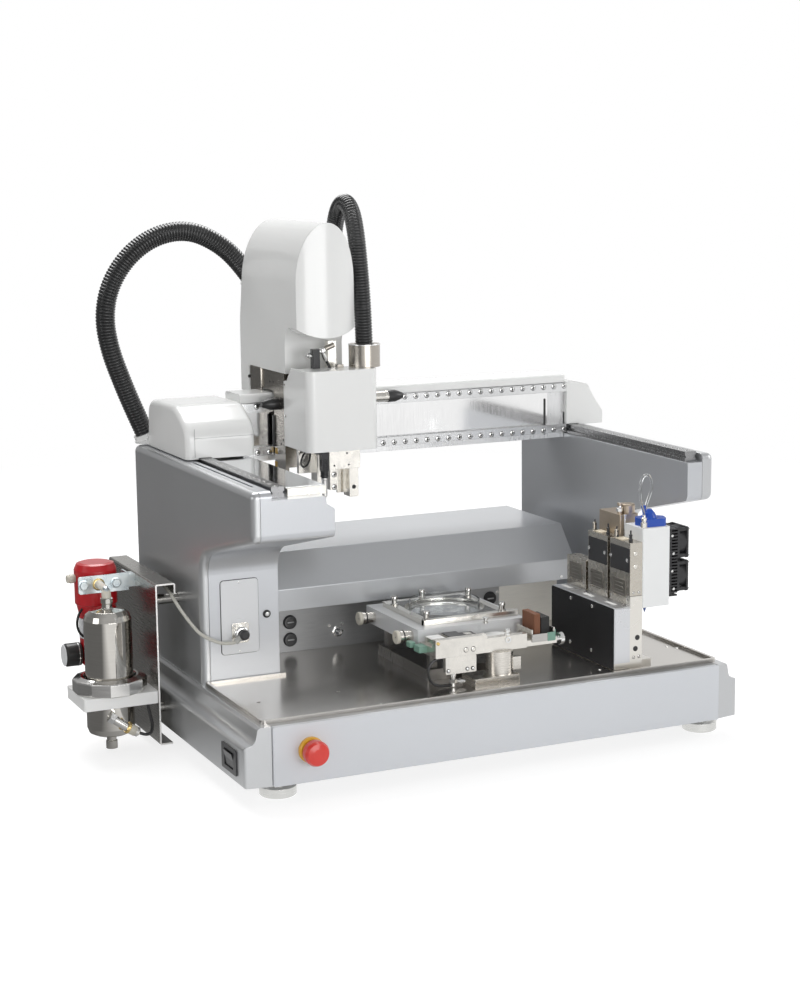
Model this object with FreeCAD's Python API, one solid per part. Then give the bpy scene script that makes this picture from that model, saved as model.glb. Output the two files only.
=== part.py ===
import FreeCAD, Part
import math
import os

# Benchtop bioprinter, in millimetres, +Z up, standing on its four feet at Z 0.
# The model is drawn from the machine's own middle plane: X 0 is the middle of the front panel,
# negative Y is the front. At the end every piece moves so that the origin is the middle of the box.
V = FreeCAD.Vector
origin_x = 70.8
origin_y = 28.8
# longer than the machine, for cutting boxes that run right through it
reach = 1500.0

# base
base_bottom = 31.5
deck_z = 121.0
rim_height = 4.0
rim_width = 5.0
deck_sheet = 2.0
panel_half = 375.0
panel_front = -309.0
panel_thick = 8.0
skirt_half = panel_half + 40.0
skirt_rake = 7.0
skirt_setback = 4.0
step_z = 91.0
shoulder_half = panel_half + 20.0
machine_rear = 263.5
deck_half = shoulder_half - 11.0
deck_front = panel_front + 21.0
fit_gap = 0.3
foot_radius = 27.5
foot_left = 30.0 - panel_half
foot_right = panel_half + 5.0
foot_front = panel_front + 62.0
foot_rear = machine_rear - 38.5

# towers and arms
tower_left_outer = 8.0 - shoulder_half
tower_left_seam = tower_left_outer + 12.6
tower_left_inner = tower_left_outer + 126.0
tower_right_outer = shoulder_half - 12.8
tower_right_inner = tower_right_outer - 48.2
tower_right_seam = tower_right_outer - 21.2
column_front = -50.0
arm_top = 450.6
arm_front_left = -279.0
arm_front_right = -275.0
arm_tip_drop = 72.0
arm_slope = 0.2487
arm_root_radius = 42.0
edge_radius = 11.0
channel_z = arm_top - 12.8
channel_left = tower_left_seam + 17.9
channel_lip = tower_left_inner - 7.0
rail_wide = 20.0
rail_high = 16.2
rail_left_x = channel_left + 5.5
rail_right_x = tower_right_inner + 3.0
rail_front = -262.0
rail_rear = machine_rear - 31.5
strip_left = tower_left_inner - 64.0
strip_right = tower_left_inner - 3.0
strip_top = arm_top - 0.6
strip_front = -250.0
slot_x = tower_left_seam + 8.7
slot_wide = 4.0
slot_deep = 8.0

# rear housing between the towers
lip_front = 17.0
lip_bottom = 204.0
lip_top = lip_bottom + 34.7
hood_shelf = 62.0
hood_top = lip_bottom + 87.0
hood_right = tower_right_inner - 34.0
wall_y = 77.5
wall_plate = 2.5
plate_split = 188.0
cap_radius = 10.7
cap_high = 4.0

# gantry
hood_left = tower_left_outer + 15.5
hood_inner = tower_left_inner + 3.5
hood_base = arm_top + 1.9
hood_front = 42.0
hood_rear = machine_rear - 25.5
hood_peak = hood_base + 80.5
endcap_left = tower_right_inner - 0.5
endcap_right = tower_right_outer + 22.4
endcap_front = 102.0
endcap_top = hood_base + 77.0
beam_left = hood_inner + 0.3
beam_right = endcap_left - 0.3
beam_front = 112.0
beam_rear = beam_front + 60.0
beam_bottom = hood_base - 21.5
beam_top = hood_base + 73.8
beam_rail_deep = 12.0
upper_rail_z = beam_top - 15.3
lower_rail_z = beam_bottom + 10.0
beam_rail_high = 14.5
bolt_pitch = 20.0
run_gap = 0.05
block_reach = 5.0

head_left = -206.0
head_right = -87.0
# carriage and tall cover
carriage_left = head_left + 2.0
carriage_right = head_right - 5.0
carriage_sheet = 6.0
carriage_front = 52.0
carriage_bottom = beam_bottom - 10.0
carriage_top = beam_top + 50.7
cover_mid = -157.5
cover_half = 48.5
cover_spring = carriage_top + 145.0
cover_apex = cover_spring + 90.0
cover_front = -22.0
cover_bulge = 104.0
cover_rear = hood_rear
cover_rear_top = 207.0
cover_skirt_y = 200.0
cover_skirt_z = beam_top + 6.7
recess_y = 41.0
recess_z = carriage_top + 75.0
recess_drop = 17.0
buffer_y = 82.0
buffer_z = beam_top - 0.3
buffer_radius = 8.5

# head
head_front = -51.0
head_rear = 49.0
head_bottom = carriage_top - 114.0
head_top = head_bottom + 125.0
head_wall = 3.0
head_corner = 13.0
core_left = head_left + 29.0
core_right = head_right - 20.0
core_front = -12.0
core_rear = 12.0
z_rail_x = core_left + 32.0
z_rail_wide = 14.0
z_rail_deep = 12.0
z_rail_low = head_bottom - 71.0
z_rail_top = head_bottom + 165.0
collar_x = head_right - 7.0
collar_y = -12.5
collar_radius = 24.5
collar_high = 35.5

# platform
plat_left = -90.0
plat_right = 95.0
plat_front = -189.0
plat_rear = 4.0
plat_top = 202.0
plat_thick = 26.5
plinth_high = 17.0
plinth_inset = 16.0
frame_margin = 20.0
frame_thick = 8.0
frame_window = 63.0
dish_radius = 56.0
dish_high = 15.0
dish_wall = 1.6
bar_left = -88.0
bar_right = 67.0
bar_front = -246.5
bar_thick = 12.0
bar_top = 192.0
bar_bottom = 169.8
ear_end = 120.0
cup_x = 24.5
cup_y = -236.0
cup_radius = 21.0

# tool magazine at the right
rack_left = 206.0
rack_right = rack_left + 28.6
rack_front = -271.0
rack_rear = -74.0
rack_top = 220.5
post_top = rack_top + 15.5
tool_thick = 21.9
tool_gap = 0.3
adapter_top = rack_top + 48.0
block_top = adapter_top + 51.5
tool_width = 60.0
tool_pitch = 67.3
cooled_right = rack_right + 71.4
cooled_bottom = rack_top - 4.5
cooled_top = block_top + 21.0
cooled_deep = 54.0
sink_thick = 14.0
fan_size = 49.0
fan_thick = 20.0
fan_low = cooled_bottom + 19.0
fan_pitch = 53.0

# filter set at the left
sheet_x = -skirt_half - 22.0
sheet_thick = 2.5
sheet_front = 15.3
sheet_rear = 258.0
sheet_bottom = 14.0
sheet_top = 268.5
block_left = sheet_x - 118.0
block_rear = 112.0
block_top_z = 101.0
block_thick = 19.0
vessel_x = sheet_x - 63.6
vessel_y = 62.0
vessel_radius = 37.0
clamp_radius = 58.0
clamp_high = 24.0
vessel_top = 229.0
bowl_bottom = 31.0
regulator_x = sheet_x - 55.0
regulator_y = 150.0
regulator_radius = 33.5
regulator_top = 286.0


def box(x0, y0, z0, x1, y1, z1):
    return Part.makeBox(x1 - x0, y1 - y0, z1 - z0, V(x0, y0, z0))


def rod(radius, length, x, y, z, axis=(0, 0, 1)):
    return Part.makeCylinder(radius, length, V(x, y, z), V(*axis))


def outline(plane, at, corners):
    """Face in a plane from corners (u, v) or (u, v, radius); the radius rounds that corner."""
    def lift(p):
        return {"xy": V(p.x, p.y, at), "xz": V(p.x, at, p.y), "yz": V(at, p.x, p.y)}[plane]
    points = [V(c[0], c[1], 0) for c in corners]
    ends = []
    for i, c in enumerate(corners):
        p = points[i]
        a = (points[i - 1] - p).normalize()
        b = (points[(i + 1) % len(points)] - p).normalize()
        r = c[2] if len(c) > 2 else 0
        if r:
            half = a.getAngle(b) / 2
            mid = p + (a + b).normalize() * (r / math.sin(half) - r)
            ends.append((p + a * (r / math.tan(half)), mid, p + b * (r / math.tan(half))))
        else:
            ends.append((p, None, p))
    edges = []
    for i, (first, mid, last) in enumerate(ends):
        if mid:
            edges.append(Part.Arc(lift(first), lift(mid), lift(last)).toShape())
        following = ends[(i + 1) % len(ends)][0]
        if (following - last).Length > 1e-6:
            edges.append(Part.LineSegment(lift(last), lift(following)).toShape())
    return Part.Face(Part.Wire(edges))


def prism(plane, low, high, corners):
    along = {"xy": V(0, 0, 1), "xz": V(0, 1, 0), "yz": V(1, 0, 0)}[plane]
    return outline(plane, low, corners).extrude(along * (high - low))


def plate(x0, y0, z0, x1, y1, z1, radius, flat="z"):
    """Box with the four corners of one face rounded: flat names the axis across the thickness."""
    if flat == "z":
        return prism("xy", z0, z1, [(x0, y0, radius), (x1, y0, radius), (x1, y1, radius), (x0, y1, radius)])
    if flat == "y":
        return prism("xz", y0, y1, [(x0, z0, radius), (x1, z0, radius), (x1, z1, radius), (x0, z1, radius)])
    return prism("yz", x0, x1, [(y0, z0, radius), (y1, z0, radius), (y1, z1, radius), (y0, z1, radius)])


def turned(profile, x, y, z, axis=(0, 0, 1)):
    """Solid of revolution from (radius, height) pairs, standing at a point along an axis."""
    points = [V(r, 0, h) for r, h in profile]
    wire = Part.makePolygon(points + [points[0]])
    solid = Part.Face(wire).revolve(V(0, 0, 0), V(0, 0, 1), 360)
    solid.Placement = FreeCAD.Placement(V(x, y, z), FreeCAD.Rotation(V(0, 0, 1), V(*axis)))
    return solid


def join(*solids):
    solid = solids[0].multiFuse(list(solids[1:])) if len(solids) > 1 else solids[0]
    return solid.removeSplitter()


def cord(name, points, radius, smallest):
    """Round cord through hand-chosen points: straight runs joined by tangent arcs."""
    p = [V(*q) for q in points]
    runs = [(b - a).Length for a, b in zip(p, p[1:])]
    edges, here, radii = [], p[0], []
    for i in range(1, len(p) - 1):
        a, b = (p[i - 1] - p[i]).normalize(), (p[i + 1] - p[i]).normalize()
        turn = math.pi - a.getAngle(b)
        back = 0.45 * min(runs[i - 1], runs[i])
        bend = back / math.tan(turn / 2)
        radii.append(round(bend, 1))
        first, last = p[i] + a * back, p[i] + b * back
        mid = p[i] + (a + b).normalize() * (bend / math.cos(turn / 2) - bend)
        edges.append(Part.LineSegment(here, first).toShape())
        edges.append(Part.Arc(first, mid, last).toShape())
        here = last
    edges.append(Part.LineSegment(here, p[-1]).toShape())
    path = Part.Wire(edges)
    ring = Part.Wire(Part.Circle(p[0], p[1] - p[0], radius).toShape())
    solid = path.makePipeShell([ring], True, False)
    expected = math.pi * radius ** 2 * path.Length
    print(name, "length", round(path.Length, 1), "radii", radii, "wanted over", smallest,
          "volume ratio", round(solid.Volume / expected, 4))
    return solid


pieces = {}

# base
foot = [(0, 0), (foot_radius - 2, 0), (foot_radius, 2), (foot_radius, 14), (foot_radius - 3, 17),
        (14, 17), (14, base_bottom), (0, base_bottom)]
pieces["levelling_feet"] = [turned(foot, x, y, 0) for x in (foot_left, foot_right)
                            for y in (foot_front, foot_rear)]

chassis_top = deck_z - deck_sheet
panel_back = panel_front + panel_thick
pieces["base_chassis"] = [box(-panel_half, panel_back, base_bottom, panel_half, machine_rear - 6,
                              chassis_top)]

stop_x, stop_z = -317.6, 79.6
front = plate(-panel_half + 0.5, panel_front, base_bottom, panel_half - 0.5, panel_back, chassis_top, 2.5,
              "y")
pieces["front_panel"] = [front.cut(rod(11, panel_thick + 2, stop_x, panel_front - 1, stop_z, (0, 1, 0)))]


def tower(x0, x1, front_y, low, grow=0.0):
    """Side view of a column with its arm, from x0 to x1; grow moves the free edges outward."""
    tip = arm_top - arm_tip_drop - grow
    root = tip - arm_slope * (column_front - front_y)
    return prism("yz", x0, x1, [
        (machine_rear + grow, low), (machine_rear + grow, arm_top + grow, edge_radius),
        (front_y - grow, arm_top + grow, 9), (front_y - grow, tip, 12),
        (column_front - grow, root, arm_root_radius), (column_front - grow, low)])


def side_cover(side):
    """Outer cover of one side: stepped skirt of the base with the smooth skin of the tower above."""
    outer = tower_left_outer if side < 0 else tower_right_outer
    seam = tower_left_seam if side < 0 else tower_right_seam
    front_y = arm_front_left if side < 0 else arm_front_right
    section = [(panel_half, base_bottom), (skirt_half, base_bottom, 2), (skirt_half, step_z, 6),
               (shoulder_half + 4, step_z + 4, 12), (shoulder_half, chassis_top - 3, 3),
               (shoulder_half - 4, chassis_top), (panel_half, chassis_top)]
    plan = [(panel_half, panel_front + skirt_setback), (skirt_half,
                                                        panel_front + skirt_setback + skirt_rake, 5),
            (skirt_half, machine_rear - 6, 5), (panel_half, machine_rear - 6)]
    flip = [tuple([side * c[0]] + list(c[1:])) for c in section]
    skirt = prism("xz", panel_front, machine_rear, flip)
    skirt = skirt.common(prism("xy", base_bottom, deck_z, [tuple([side * c[0]] + list(c[1:]))
                                                           for c in plan]))
    skin = tower(min(seam, outer), max(seam, outer), front_y, chassis_top - 8)
    rim = [e for e in skin.Edges if all(abs(v.X - outer) < 0.01 for v in e.Vertexes)
           and max(v.Z for v in e.Vertexes) > chassis_top]
    skin = skin.makeFillet(edge_radius - 1, rim)
    keep = box(-reach, -reach, chassis_top, reach, reach, reach)
    return join(skirt, skin.common(keep))


pieces["side_cover_left"] = [side_cover(-1)]
pieces["side_cover_right"] = [side_cover(1)]

seam_gap = 0.5
left = tower(tower_left_seam + seam_gap, tower_left_inner, arm_front_left, chassis_top)
left_section = prism("xz", -reach, reach, [
    (tower_left_seam, deck_z - 20), (tower_left_seam, arm_top + 1), (channel_left, arm_top + 1),
    (channel_left, channel_z), (channel_lip - 7, channel_z, 3), (channel_lip - 5.5, channel_z - 11, 3),
    (tower_left_inner, channel_z - 19, 4),
    (tower_left_inner, deck_z - 20)])
left = left.common(left_section)
left = left.cut(box(slot_x - slot_wide / 2, -229, arm_top - slot_deep, slot_x + slot_wide / 2, 35,
                    arm_top + 1))
pieces["column_left"] = [left]

right = tower(tower_right_inner, tower_right_seam - seam_gap, arm_front_right, chassis_top)
right = right.cut(box(tower_right_inner - 1, -reach, channel_z, tower_right_seam, reach, arm_top + 5))
pieces["column_right"] = [right]

notch_left = tower_left_inner + 2
notch_right = tower_right_inner - 2
notch_y = column_front - 2
tray = [(-deck_half, deck_front, 7), (deck_half, deck_front, 7), (deck_half, notch_y, 4),
        (notch_right, notch_y),
        (notch_right, wall_y - wall_plate - fit_gap), (notch_left, wall_y - wall_plate - fit_gap),
        (notch_left, notch_y), (-deck_half, notch_y, 4)]
w = rim_width
pan = [(-deck_half + w, deck_front + w, 5), (deck_half - w, deck_front + w, 5),
       (deck_half - w, notch_y - w, 3),
       (notch_right - w, notch_y - w), (notch_right - w, wall_y), (notch_left + w, wall_y),
       (notch_left + w, notch_y - w), (-deck_half + w, notch_y - w, 3)]
deck = prism("xy", chassis_top, deck_z + rim_height, tray).cut(prism("xy", deck_z, deck_z + 9, pan))
for x, y in ((37 - deck_half, -182), (-220, -182), (deck_half - 12, -183), (300, -40)):
    deck = deck.cut(rod(3, 12, x, y, deck_z - 6))
pieces["deck_tray"] = [deck]

# rear housing and its panels
housing = prism("yz", tower_left_inner + seam_gap, hood_right, [
    (machine_rear - 2, chassis_top), (machine_rear - 2, hood_top, 6), (hood_shelf, hood_top, 5),
    (lip_front, lip_top, 3), (lip_front, lip_bottom), (wall_y, lip_bottom), (wall_y, chassis_top)])
toggle_x, toggle_z = -110.2, 146.2
caps = [(-193.8, 170.6), (-193.8, 141.7), (170.0, 171.7)]
housing = housing.cut(rod(3.25, 14, toggle_x, wall_y - 1, toggle_z, (0, 1, 0)))
pieces["rear_housing"] = [housing]
service = box(tower_left_inner + 3, wall_y - wall_plate, deck_z, plate_split - 0.5, wall_y, lip_bottom - 0.5)
service = service.cut(rod(4.5, 9, toggle_x, wall_y - 4, toggle_z, (0, 1, 0)))
pieces["rear_panels"] = [service, box(plate_split, wall_y - wall_plate, deck_z, hood_right, wall_y,
                                      lip_bottom - 0.5)]
for x, z in caps:
    cap = turned([(0, 0), (cap_radius, 0), (cap_radius, cap_high - 1), (cap_radius - 1, cap_high),
                  (0, cap_high)],
                 x, wall_y - wall_plate, z, (0, -1, 0))
    slot = box(x - 1.2, wall_y - wall_plate - cap_high - 1, z - 5, x + 1.2,
               wall_y - wall_plate - cap_high + 1, z + 5)
    pieces["rear_panels"].append(cap.cut(slot))
ball = Part.makeSphere(3.2, V(toggle_x, wall_y + 3, toggle_z))
lever = join(ball, turned([(0, 0), (2.2, 0), (3.2, 17), (2.4, 19), (0, 19)], toggle_x, wall_y + 3, toggle_z,
                          (0, -1, 0)))
pieces["toggle_lever"] = [lever]

# rails and strip on the arms


def bolted_rail(x):
    rail = box(x, rail_front, channel_z, x + rail_wide, rail_rear, channel_z + rail_high)
    groove = prism("xz", rail_front, rail_rear, [
        (x - 1, channel_z + 5), (x + 2.2, channel_z + 6.5), (x + 2.2, channel_z + 9),
        (x - 1, channel_z + 10.5)])
    mirror = groove.mirror(V(x + rail_wide / 2, 0, 0), V(1, 0, 0))
    return rail.cut(groove).cut(mirror)


pieces["arm_rails"] = [bolted_rail(rail_left_x), bolted_rail(rail_right_x)]
strip = prism("xz", strip_front, rail_rear, [
    (strip_left, channel_z), (strip_left, strip_top, 1), (strip_right, strip_top, 2),
    (strip_right, channel_z - 2), (strip_right - 1.5, channel_z - 2), (strip_right - 1.5, channel_z)])
pieces["arm_rails"] += [strip, plate(strip_left, strip_front - 9, channel_z, strip_right - 2,
                                     strip_front - 0.2,
                                     strip_top - 0.5, 1, "y")]

# switch and emergency stop
rocker_y, rocker_z = -240.0, 61.0
face_x = -skirt_half
bezel = plate(face_x - 2.0, rocker_y - 30, rocker_z - 19, face_x, rocker_y + 30, rocker_z + 19, 3, "x")
well = box(face_x - 3, rocker_y - 18, rocker_z - 12.5, face_x + 9, rocker_y + 18, rocker_z + 12.5)
pieces["switch_bezel"] = [bezel.cut(well)]
pieces["side_cover_left"] = [pieces["side_cover_left"][0].cut(well)]
rocker = prism("xz", rocker_y - 17.8, rocker_y + 17.8, [
    (face_x + 4, rocker_z - 10.5), (face_x + 4, rocker_z + 10.5), (face_x - 4.5, rocker_z + 11),
    (face_x - 1.5, rocker_z), (face_x - 0.5, rocker_z - 11)])
pieces["switch_rocker"] = [rocker]

collar = turned([(9.3, 0), (19, 0), (19, 5), (17, 7.5), (9.3, 7.5)], stop_x, panel_front, stop_z, (0, -1, 0))
pieces["estop_collar"] = [collar]
mushroom = turned([(0, -1.5), (9, -1.5), (9, 13), (16.5, 13), (18.5, 15), (18.5, 25), (16, 30), (9, 32),
                   (0, 32.5)],
                  stop_x, panel_front, stop_z, (0, -1, 0))
pieces["estop_button"] = [mushroom]

# socket plate on the left column
sock_x, sock_z = tower_left_seam + 48.4, 196.0
cover_plate = plate(sock_x - 29.3, column_front - 2, 163.2, sock_x + 30.9, column_front, 278.2, 5, "y")
flange = plate(sock_x - 13.5, column_front - 4, sock_z - 15.5, sock_x + 13.5, column_front - 2,
               sock_z + 15.5, 3, "y")
barrel = turned([(8, 0), (11, 0), (11, 8), (10, 9), (8, 9)], sock_x, column_front - 4, sock_z, (0, -1, 0))
washer = turned([(0, 0), (5.5, 0), (5.5, 1.2), (3.4, 1.2), (3.4, 4), (0, 4)], sock_x + 45, column_front,
                220.0, (0, -1, 0))
pieces["connector_plate"] = [join(cover_plate, flange, barrel), washer]

# filter set
sx = sheet_x
hook_x = 10.0 - skirt_half
hook = prism("xz", sheet_front, sheet_rear, [
    (sx, sheet_bottom, 3), (-skirt_half - 1, sheet_bottom), (-skirt_half - 1, sheet_bottom + sheet_thick),
    (sx + sheet_thick, sheet_bottom + sheet_thick, 1), (sx + sheet_thick, sheet_top - sheet_thick, 1),
    (hook_x - sheet_thick, sheet_top - sheet_thick, 1), (hook_x - sheet_thick, sheet_top - 16),
    (hook_x, sheet_top - 16),
    (hook_x, sheet_top, 3), (sx, sheet_top, 3)])
standoffs = [rod(8, -skirt_half - sx - sheet_thick, sx + sheet_thick, y, 62, (1, 0, 0)) for y in (60, 215)]
standoffs += [rod(8, tower_left_outer - sx - sheet_thick, sx + sheet_thick, y, 235, (1, 0, 0))
              for y in (60, 215)]
pieces["filter_bracket"] = [join(hook, *standoffs)]

block = plate(block_left, sheet_front, block_top_z - block_thick, sx, block_rear, block_top_z, 3)
neck = 30.0
block = block.cut(rod(neck + fit_gap, block_thick + 2, vessel_x, vessel_y, block_top_z - block_thick - 1))
pieces["filter_block"] = [block]

vx, vy, vr = vessel_x, vessel_y, vessel_radius
z0, z1 = block_top_z, block_top_z + clamp_high
clamp_inner = vr + 1.0
ring = Part.makePolygon([V(vx + clamp_radius * math.cos(a), vy + clamp_radius * math.sin(a), z0)
                         for a in [math.radians(15 + 30 * i) for i in range(13)]])
ring = Part.Face(ring).extrude(V(0, 0, clamp_high))
ring = ring.common(turned([(0, 0), (clamp_radius - 3, 0), (clamp_radius, 4), (clamp_radius, clamp_high - 4),
                           (clamp_radius - 3, clamp_high), (0, clamp_high)], vx, vy, z0))
pieces["filter_clamp"] = [ring.cut(rod(clamp_inner, clamp_high + 2, vx, vy, z0 - 1))]
top = vessel_top - z1
pieces["filter_housing"] = [turned([
    (neck, -clamp_high), (vr, -clamp_high), (vr, top - 16), (vr - 3, top - 8), (vr - 10, top - 2), (10, top),
    (8, top + 2), (8, top + 8), (9.5, top + 9), (9.5, top + 16), (6, top + 16), (6, top - 2),
    (vr - 12, top - 4),
    (vr - 3, top - 16), (neck, -clamp_high + 6)], vx, vy, z1)]
deep = block_top_z - block_thick - bowl_bottom
pieces["filter_bowl"] = [turned([
    (neck, deep + block_thick), (neck - 2, deep + block_thick), (neck - 2, deep - 1), (vr - 3, deep - 4),
    (vr - 3, 12), (vr - 12, 3), (5, 2), (5, -24), (9, -24), (9, -12), (7.5, -11), (7.5, 0), (vr - 11, 0),
    (vr - 3, 4), (vr, 12), (vr, deep), (neck, deep)], vx, vy, bowl_bottom)]

rx, ry, rr = regulator_x, regulator_y, regulator_radius
pieces["regulator_body"] = [turned([
    (0, 0), (22, 0), (28, 6), (28, 80), (rr - 5, 86), (rr - 2, 100), (rr, 102), (rr, 156), (rr - 4, 165),
    (rr - 10, 167), (0, 167)], rx, ry, regulator_top - 167)]
knob_z = 140.0
pieces["regulator_knob"] = [turned([(0, 0), (16, 0), (18.5, 2), (18.5, 24), (16.5, 27), (0, 27)],
                                   rx - 28.3, ry, knob_z, (-1, 0, 0))]
strap_y = ry - rr - 3.5
strap = plate(sx - 93, strap_y, 243, sx - 12, strap_y + 3, 271, 4, "y")
strap = join(strap, box(sx - 15, strap_y, 243, sx - 12, strap_y + 30, 271),
             box(sx - 12.5, strap_y + 4, 247, sx, strap_y + 26, 267))
bolts = [turned([(0, 0), (6, 0), (6, 4), (4, 5.5), (0, 5.5)], x, strap_y - 0.01, 257, (0, -1, 0))
         for x in (sx - 85, sx - 33)]
elbow = cord("elbow", [(rx - 6, strap_y - 0.1, 257), (rx - 7.5, strap_y - 24, 258), (vx, vy, 258),
                       (vx, vy, 245.2)], 5.5, 5)
tail = rod(5.5, 12, rx - rr + 1, ry, 262, (-1, 0, 0))
tee = [rod(5, 16, vx - 11.4, vy - vr + 2.2, 66, (0, -1, 0)), rod(6.5, 34, vx - 15.4, vy - vr - 8, 70,
                                                                 (0.75, -0.1, -0.55)),
       rod(7.5, 20, vx + 10.1, vy - vr - 11.4, 51.3, (0.85, -0.1, -0.5))]
tail = tail.cut(pieces["regulator_body"][0])
tee = join(*tee).cut(rod(vr, 90, vx, vy, bowl_bottom))
pieces["filter_fittings"] = [join(strap, *bolts), elbow, tail, tee]

# platform
pl, pr, pf, pb = plat_left, plat_right, plat_front, plat_rear
tray_bottom = plat_top - plat_thick
plinth = plate(pl + plinth_inset, pf, deck_z, pr - plinth_inset, pb - 8, deck_z + plinth_high, 1)
posts = [box(x - 6, y - 6, deck_z + plinth_high, x + 6, y + 6, tray_bottom)
         for x in (pl + plinth_inset + 14, pr - plinth_inset - 14) for y in (pf + 14, pb - 22)]
pieces["platform_plinth"] = [plinth] + posts
tray_block = plate(pl, pf, tray_bottom, pr, pb, plat_top, 2)
pieces["platform_tray"] = [tray_block]
fx0, fx1, fy0, fy1 = pl + frame_margin, pr - frame_margin, pf + frame_margin, pb - frame_margin
centre_x, centre_y = (fx0 + fx1) / 2, (fy0 + fy1) / 2
clamp = plate(fx0, fy0, plat_top, fx1, fy1, plat_top + frame_thick, 2)
clamp = clamp.cut(rod(frame_window, frame_thick + 2, centre_x, centre_y, plat_top - 1))
pins = [(fx0 + 7, fy0 + 7), (fx1 - 7, fy0 + 7), (fx0 + 7, fy1 - 30), (fx1 - 7, fy1 - 30),
        (centre_x - 6, fy1 - 6)]
pin_shapes = [turned([(0, 0), (4.2, 0), (4.2, 12), (3, 14), (0, 14)], x, y, plat_top + frame_thick) for x,
              y in pins]
pieces["clamp_frame"] = [join(clamp, *pin_shapes)]
dz = plat_top + fit_gap
pieces["petri_dish"] = [turned([
    (0, 0), (dish_radius - 2, 0), (dish_radius, 2), (dish_radius, dish_high + 4),
    (dish_radius - dish_wall, dish_high + 4),
    (dish_radius - dish_wall, 3), (dish_radius - 3, dish_wall), (0, dish_wall)], centre_x, centre_y, dz)]

bar = plate(bar_left, bar_front, bar_bottom, bar_right, bar_front + bar_thick, bar_top, 1, "y")
raised = box(bar_left, bar_front, bar_top - 3, -2, bar_front + bar_thick, bar_top + 6)
shelf = box(bar_left, bar_front + bar_thick, bar_bottom, bar_right, pf - fit_gap, bar_top - 8)
ear = box(bar_right, bar_front + 2, bar_bottom + 1, ear_end, bar_front + 14, bar_bottom + 10)
lower = plate(-71.0, bar_front + 1, 143, -19.5, bar_front + 9, bar_bottom, 1.5, "y")
pieces["platform_bar"] = [join(bar, raised, shelf, ear, lower)]

nut = [(0, 0), (6, 0), (6, 12), (0, 12)]
tip = [(0, 12.01), (9.5, 12.01), (9.5, 14), (8, 15), (8, 24), (9.5, 25), (9.5, 28), (0, 28)]
pieces["fluid_couplers"] = [join(turned([(0, 0), (8.5, 0), (8.5, 12), (0, 12)], pl, y, 189, (-1, 0, 0)),
                                 turned([(0, 12), (9.5, 12), (9.5, 27), (0, 27)], pl, y, 189, (-1, 0, 0)))
                            for y in (-26, -166)]
mz = bar_top - 8
disc = rod(20, 2.5, 31, -214.3, mz)
squares = [box(-82, -232, mz, -58, -196, mz + 9), box(-55, -231, mz, -30, -197, mz + 11),
           box(-27, -231, mz, -4, -197, mz + 8)]
terminal = box(bar_left - 12, -216, bar_bottom + 4, bar_left, -196, bar_bottom + 13)
holder = join(box(76, bar_front + 2, bar_bottom + 10, 116, -196, bar_bottom + 14),
              box(76, bar_front + 2, bar_bottom + 10, 78, -196, bar_bottom + 26),
              box(114, bar_front + 2, bar_bottom + 10, 116, -196, bar_bottom + 26))
brushes = [box(84, -238, bar_bottom + 14, 94, -200, 218), box(96, -238, bar_bottom + 14, 110, -200, 212)]
pieces["platform_modules"] = [disc] + squares + [terminal, holder] + brushes
cup = turned([(0, 0), (cup_radius, 0), (cup_radius, bar_bottom - 134), (0, bar_bottom - 134)], cup_x, cup_y,
             134)
step_block = plate(-28, -259, deck_z, 48, -213, 134, 1)
side_tab = plate(cup_x + 15, cup_y - 11, 138, cup_x + 32, cup_y - 2, 158, 1)
pieces["purge_cup"] = [join(step_block, cup, side_tab)]
pieces["platform_knob"] = [turned([(0, 0), (4, 0), (4, 6), (9.5, 6), (9.5, 12), (8, 13), (0, 13)],
                                  ear_end + fit_gap, bar_front + 8, bar_bottom + 6, (1, 0, 0))]

# tool magazine and parked tools
rl, rr2, rf, rb = rack_left, rack_right, rack_front, rack_rear
body = plate(rl + 2, rf, deck_z, rr2, rb, rack_top, 3, "x")
facing = plate(rl, rf + 1, deck_z + 1, rl + 2, rb - 1, rack_top - 1, 3, "x")
foot_block = box(rr2, rf + 8, deck_z, 278, rb, deck_z + 11)
back = box(rr2, rf + 14, deck_z + 11, rr2 + 16, rb, rack_top)
end_post = box(rr2, rf, deck_z, rr2 + tool_thick, rf + 12, post_top)
pieces["tool_magazine"] = [join(body, foot_block, back, end_post), facing]

tl, tr = rr2, rr2 + tool_thick
slots = [rf + 1 + tool_pitch * i for i in range(3)]


def adapter(y, tall):
    """Coupling plate of a tool with its guide block above; the plate alone where nothing is parked."""
    low = rack_top + tool_gap
    plate_part = plate(tl, y, low, tr, y + tool_width, adapter_top, 1.5, "x")
    field = box(tl - 1, y + 16, low + 14, tl + 2, y + tool_width - 16, adapter_top - 13)
    window = box(tl - 1, y + 12, low + 10, tl + 1.2, y + tool_width - 12, adapter_top - 9).cut(field)
    shape = plate_part.cut(window)
    if tall:
        guide = box(tl, y, adapter_top - 5, tr, y + tool_width, block_top)
        groove = box(tl - 1, y + 26, adapter_top, tl + 6, y + 33, block_top + 1)
        peg = rod(2.5, 14, tl + 6, y + tool_width - 8, block_top)
        shape = join(shape, guide, peg)
        shape = shape.cut(box(tl - 1, y + 2, adapter_top + 4, tl + 0.8, y + tool_width - 2, block_top - 9))
    return shape


pieces["adapter_front"] = [adapter(slots[0], True).cut(box(tl - 1, rf - 1, rack_top, tr + 1, rf + 12.4,
                                                           post_top + tool_gap))]
pieces["adapter_middle"] = [adapter(slots[1], True)]
pieces["adapter_rear"] = [adapter(slots[2], False)]

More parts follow.
